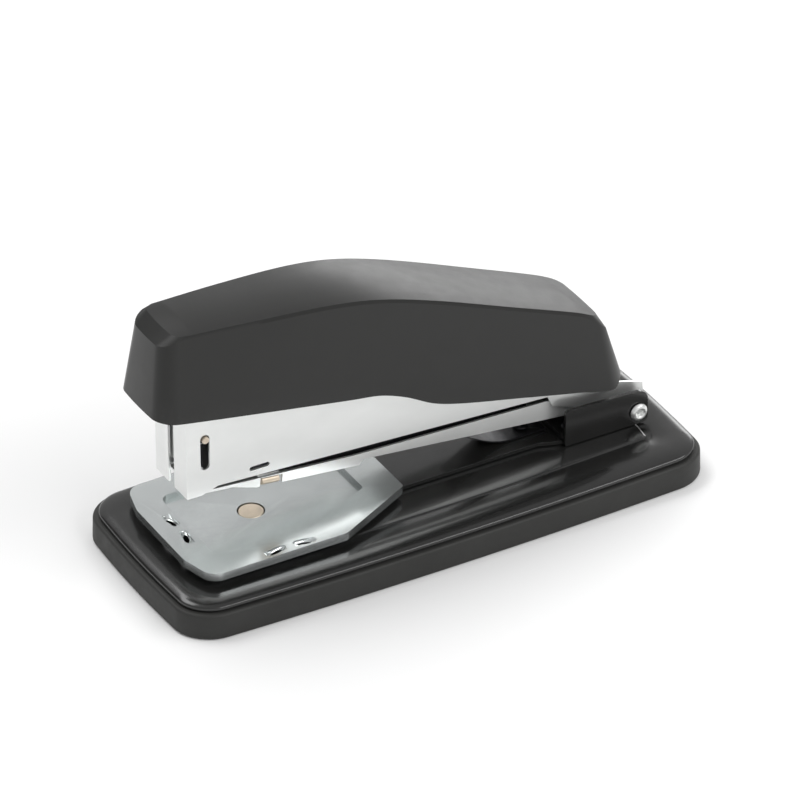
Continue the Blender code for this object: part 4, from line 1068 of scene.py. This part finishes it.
    def build(self) -> None:
        """Make the cover and the handle frame inside it."""
        finish_piece(self.shell(), COVER_PLASTIC, Carrier.COVER, ["cover"])
        PressedPart("handle_frame", DARK_STEEL, Carrier.COVER, 0.15).build()
        for node in ("cover_screw_front", "cover_screw_rear"):
            dress_node(node, BRIGHT_NICKEL)


# ---------------------------------------------------------------- studio

@dataclass
class Studio:
    """Pale floor, soft lights and the camera.

    Attributes:
        azimuth: Camera's turn from the front view, in degrees.
        elevation: Camera's height above the horizon, in degrees.
        distance: From the base's middle to the camera.
        focal: Focal length on a 36 mm sensor.
        aim: Tangents of the aim's offset to the right and upwards.
        lit_height: Height of the point that the lights face.
        sky_level: Strength of the room's pale light.
    """

    azimuth: float = -29.738
    elevation: float = 34.22
    distance: float = 1.49533
    focal: float = 270.0
    aim: tuple[float, float] = (0.000178, 0.01715)
    lit_height: float = 0.03
    sky_level: float = 0.58

    def axes(self) -> tuple[Vector, Vector, Vector]:
        """Return the camera's right, up and backward directions at the base's middle."""
        azimuth = radians(self.azimuth)
        elevation = radians(self.elevation)
        back = Vector((sin(azimuth) * cos(elevation), -cos(azimuth) * cos(elevation),
                       sin(elevation)))
        right = Vector((cos(azimuth), sin(azimuth), 0.0))
        return right, back.cross(right), back

    def camera(self) -> None:
        """Place the camera."""
        right, up, back = self.axes()
        data = bpy.data.cameras.new("camera")
        data.lens = self.focal
        data.sensor_width = 36.0
        data.clip_start = 0.1
        data.clip_end = 20.0
        camera = bpy.data.objects.new("camera", data)
        bpy.context.scene.collection.objects.link(camera)
        camera.location = back * self.distance
        look = -back + right * self.aim[0] + up * self.aim[1]
        camera.rotation_euler = look.to_track_quat("-Z", "Y").to_euler()
        bpy.context.scene.camera = camera

    def light(self, name: str, place: Point, size: tuple[float, float], power: float) -> None:
        """Add a rectangular soft light aimed at the stapler."""
        data = bpy.data.lights.new(name, "AREA")
        data.shape = "RECTANGLE"
        data.size, data.size_y = size
        data.energy = power
        light = bpy.data.objects.new(name, data)
        bpy.context.scene.collection.objects.link(light)
        light.location = place
        beam = Vector((0.0, 0.0, self.lit_height)) - Vector(place)
        light.rotation_euler = beam.to_track_quat("-Z", "Y").to_euler()

    def card(self, name: str, place: Vector, half: float) -> None:
        """Hang a black card that only shows up in mirror-like surfaces.

        Args:
            name: The card's name.
            place: Its middle.
            half: Half of its side.
        """
        shape = bmesh.new()
        bmesh.ops.create_grid(shape, x_segments=1, y_segments=1, size=half)
        turn = (-place).to_track_quat("Z", "Y").to_matrix().to_4x4()
        bmesh.ops.transform(shape, matrix=Matrix.Translation(place) @ turn, verts=shape.verts)
        mesh = bpy.data.meshes.new(name)
        shape.to_mesh(mesh)
        shape.free()
        card = object_of(name, mesh)
        for ray in ("camera", "diffuse", "shadow", "transmission", "volume_scatter"):
            setattr(card, f"visible_{ray}", False)
        graph = Graph("card_black")
        graph.shader.inputs["Base Color"].default_value = (0.01, 0.012, 0.012, 1.0)
        graph.shader.inputs["Roughness"].default_value = 0.9
        mesh.materials.append(graph.material)

    def floor(self) -> None:
        """Make the pale floor."""
        shape = bmesh.new()
        bmesh.ops.create_grid(shape, x_segments=8, y_segments=8, size=4.0)
        mesh = bpy.data.meshes.new("studio_floor")
        shape.to_mesh(mesh)
        shape.free()
        floor = object_of("studio_floor", mesh)
        graph = Graph("pale_floor")
        paper = graph.mix(graph.spread(graph.noise(3.0), 0.0, 1.0), (0.90, 0.90, 0.90, 1.0),
                          (0.92, 0.92, 0.92, 1.0))
        graph.feed(graph.shader.inputs["Base Color"], paper)
        graph.shader.inputs["Roughness"].default_value = 0.9
        graph.shader.inputs["Specular IOR Level"].default_value = 0.1
        mesh.materials.append(graph.material)

    def sky(self, level: float) -> None:
        """Fill the room with pale light."""
        world = bpy.data.worlds.new("pale_room")
        world.use_nodes = True
        world.node_tree.nodes["Background"].inputs["Color"].default_value = (1.0, 1.0, 1.0, 1.0)
        world.node_tree.nodes["Background"].inputs["Strength"].default_value = level
        bpy.context.scene.world = world

    def build(self) -> None:
        """Set up the studio."""
        self.camera()
        self.floor()
        self.sky(self.sky_level)
        self.light("top_box", (-0.25, 0.55, 1.05), (1.0, 0.5), 6.6)
        self.light("rear_box", (0.80, 0.82, 0.28), (0.6, 0.3), 2.2)
        self.light("edge_strip", (0.42, -0.62, 0.72), (1.1, 0.18), 5.0)
        self.card("nose_card", Vector((-0.40, 0.42, 0.29)), 0.14)
        bpy.context.scene.view_settings.view_transform = "Standard"


def main() -> None:
    """Build the sub-assemblies in order, then the studio."""
    logging.basicConfig(level=logging.INFO, format="%(name)s: %(message)s")
    for assembly in (Base(), SwivelArm(), Magazine(), HeadFrame(), Cover()):
        LOG.info("building %s", type(assembly).__name__)
        assembly.build()
    Studio().build()


if __name__ == "__main__":
    main()
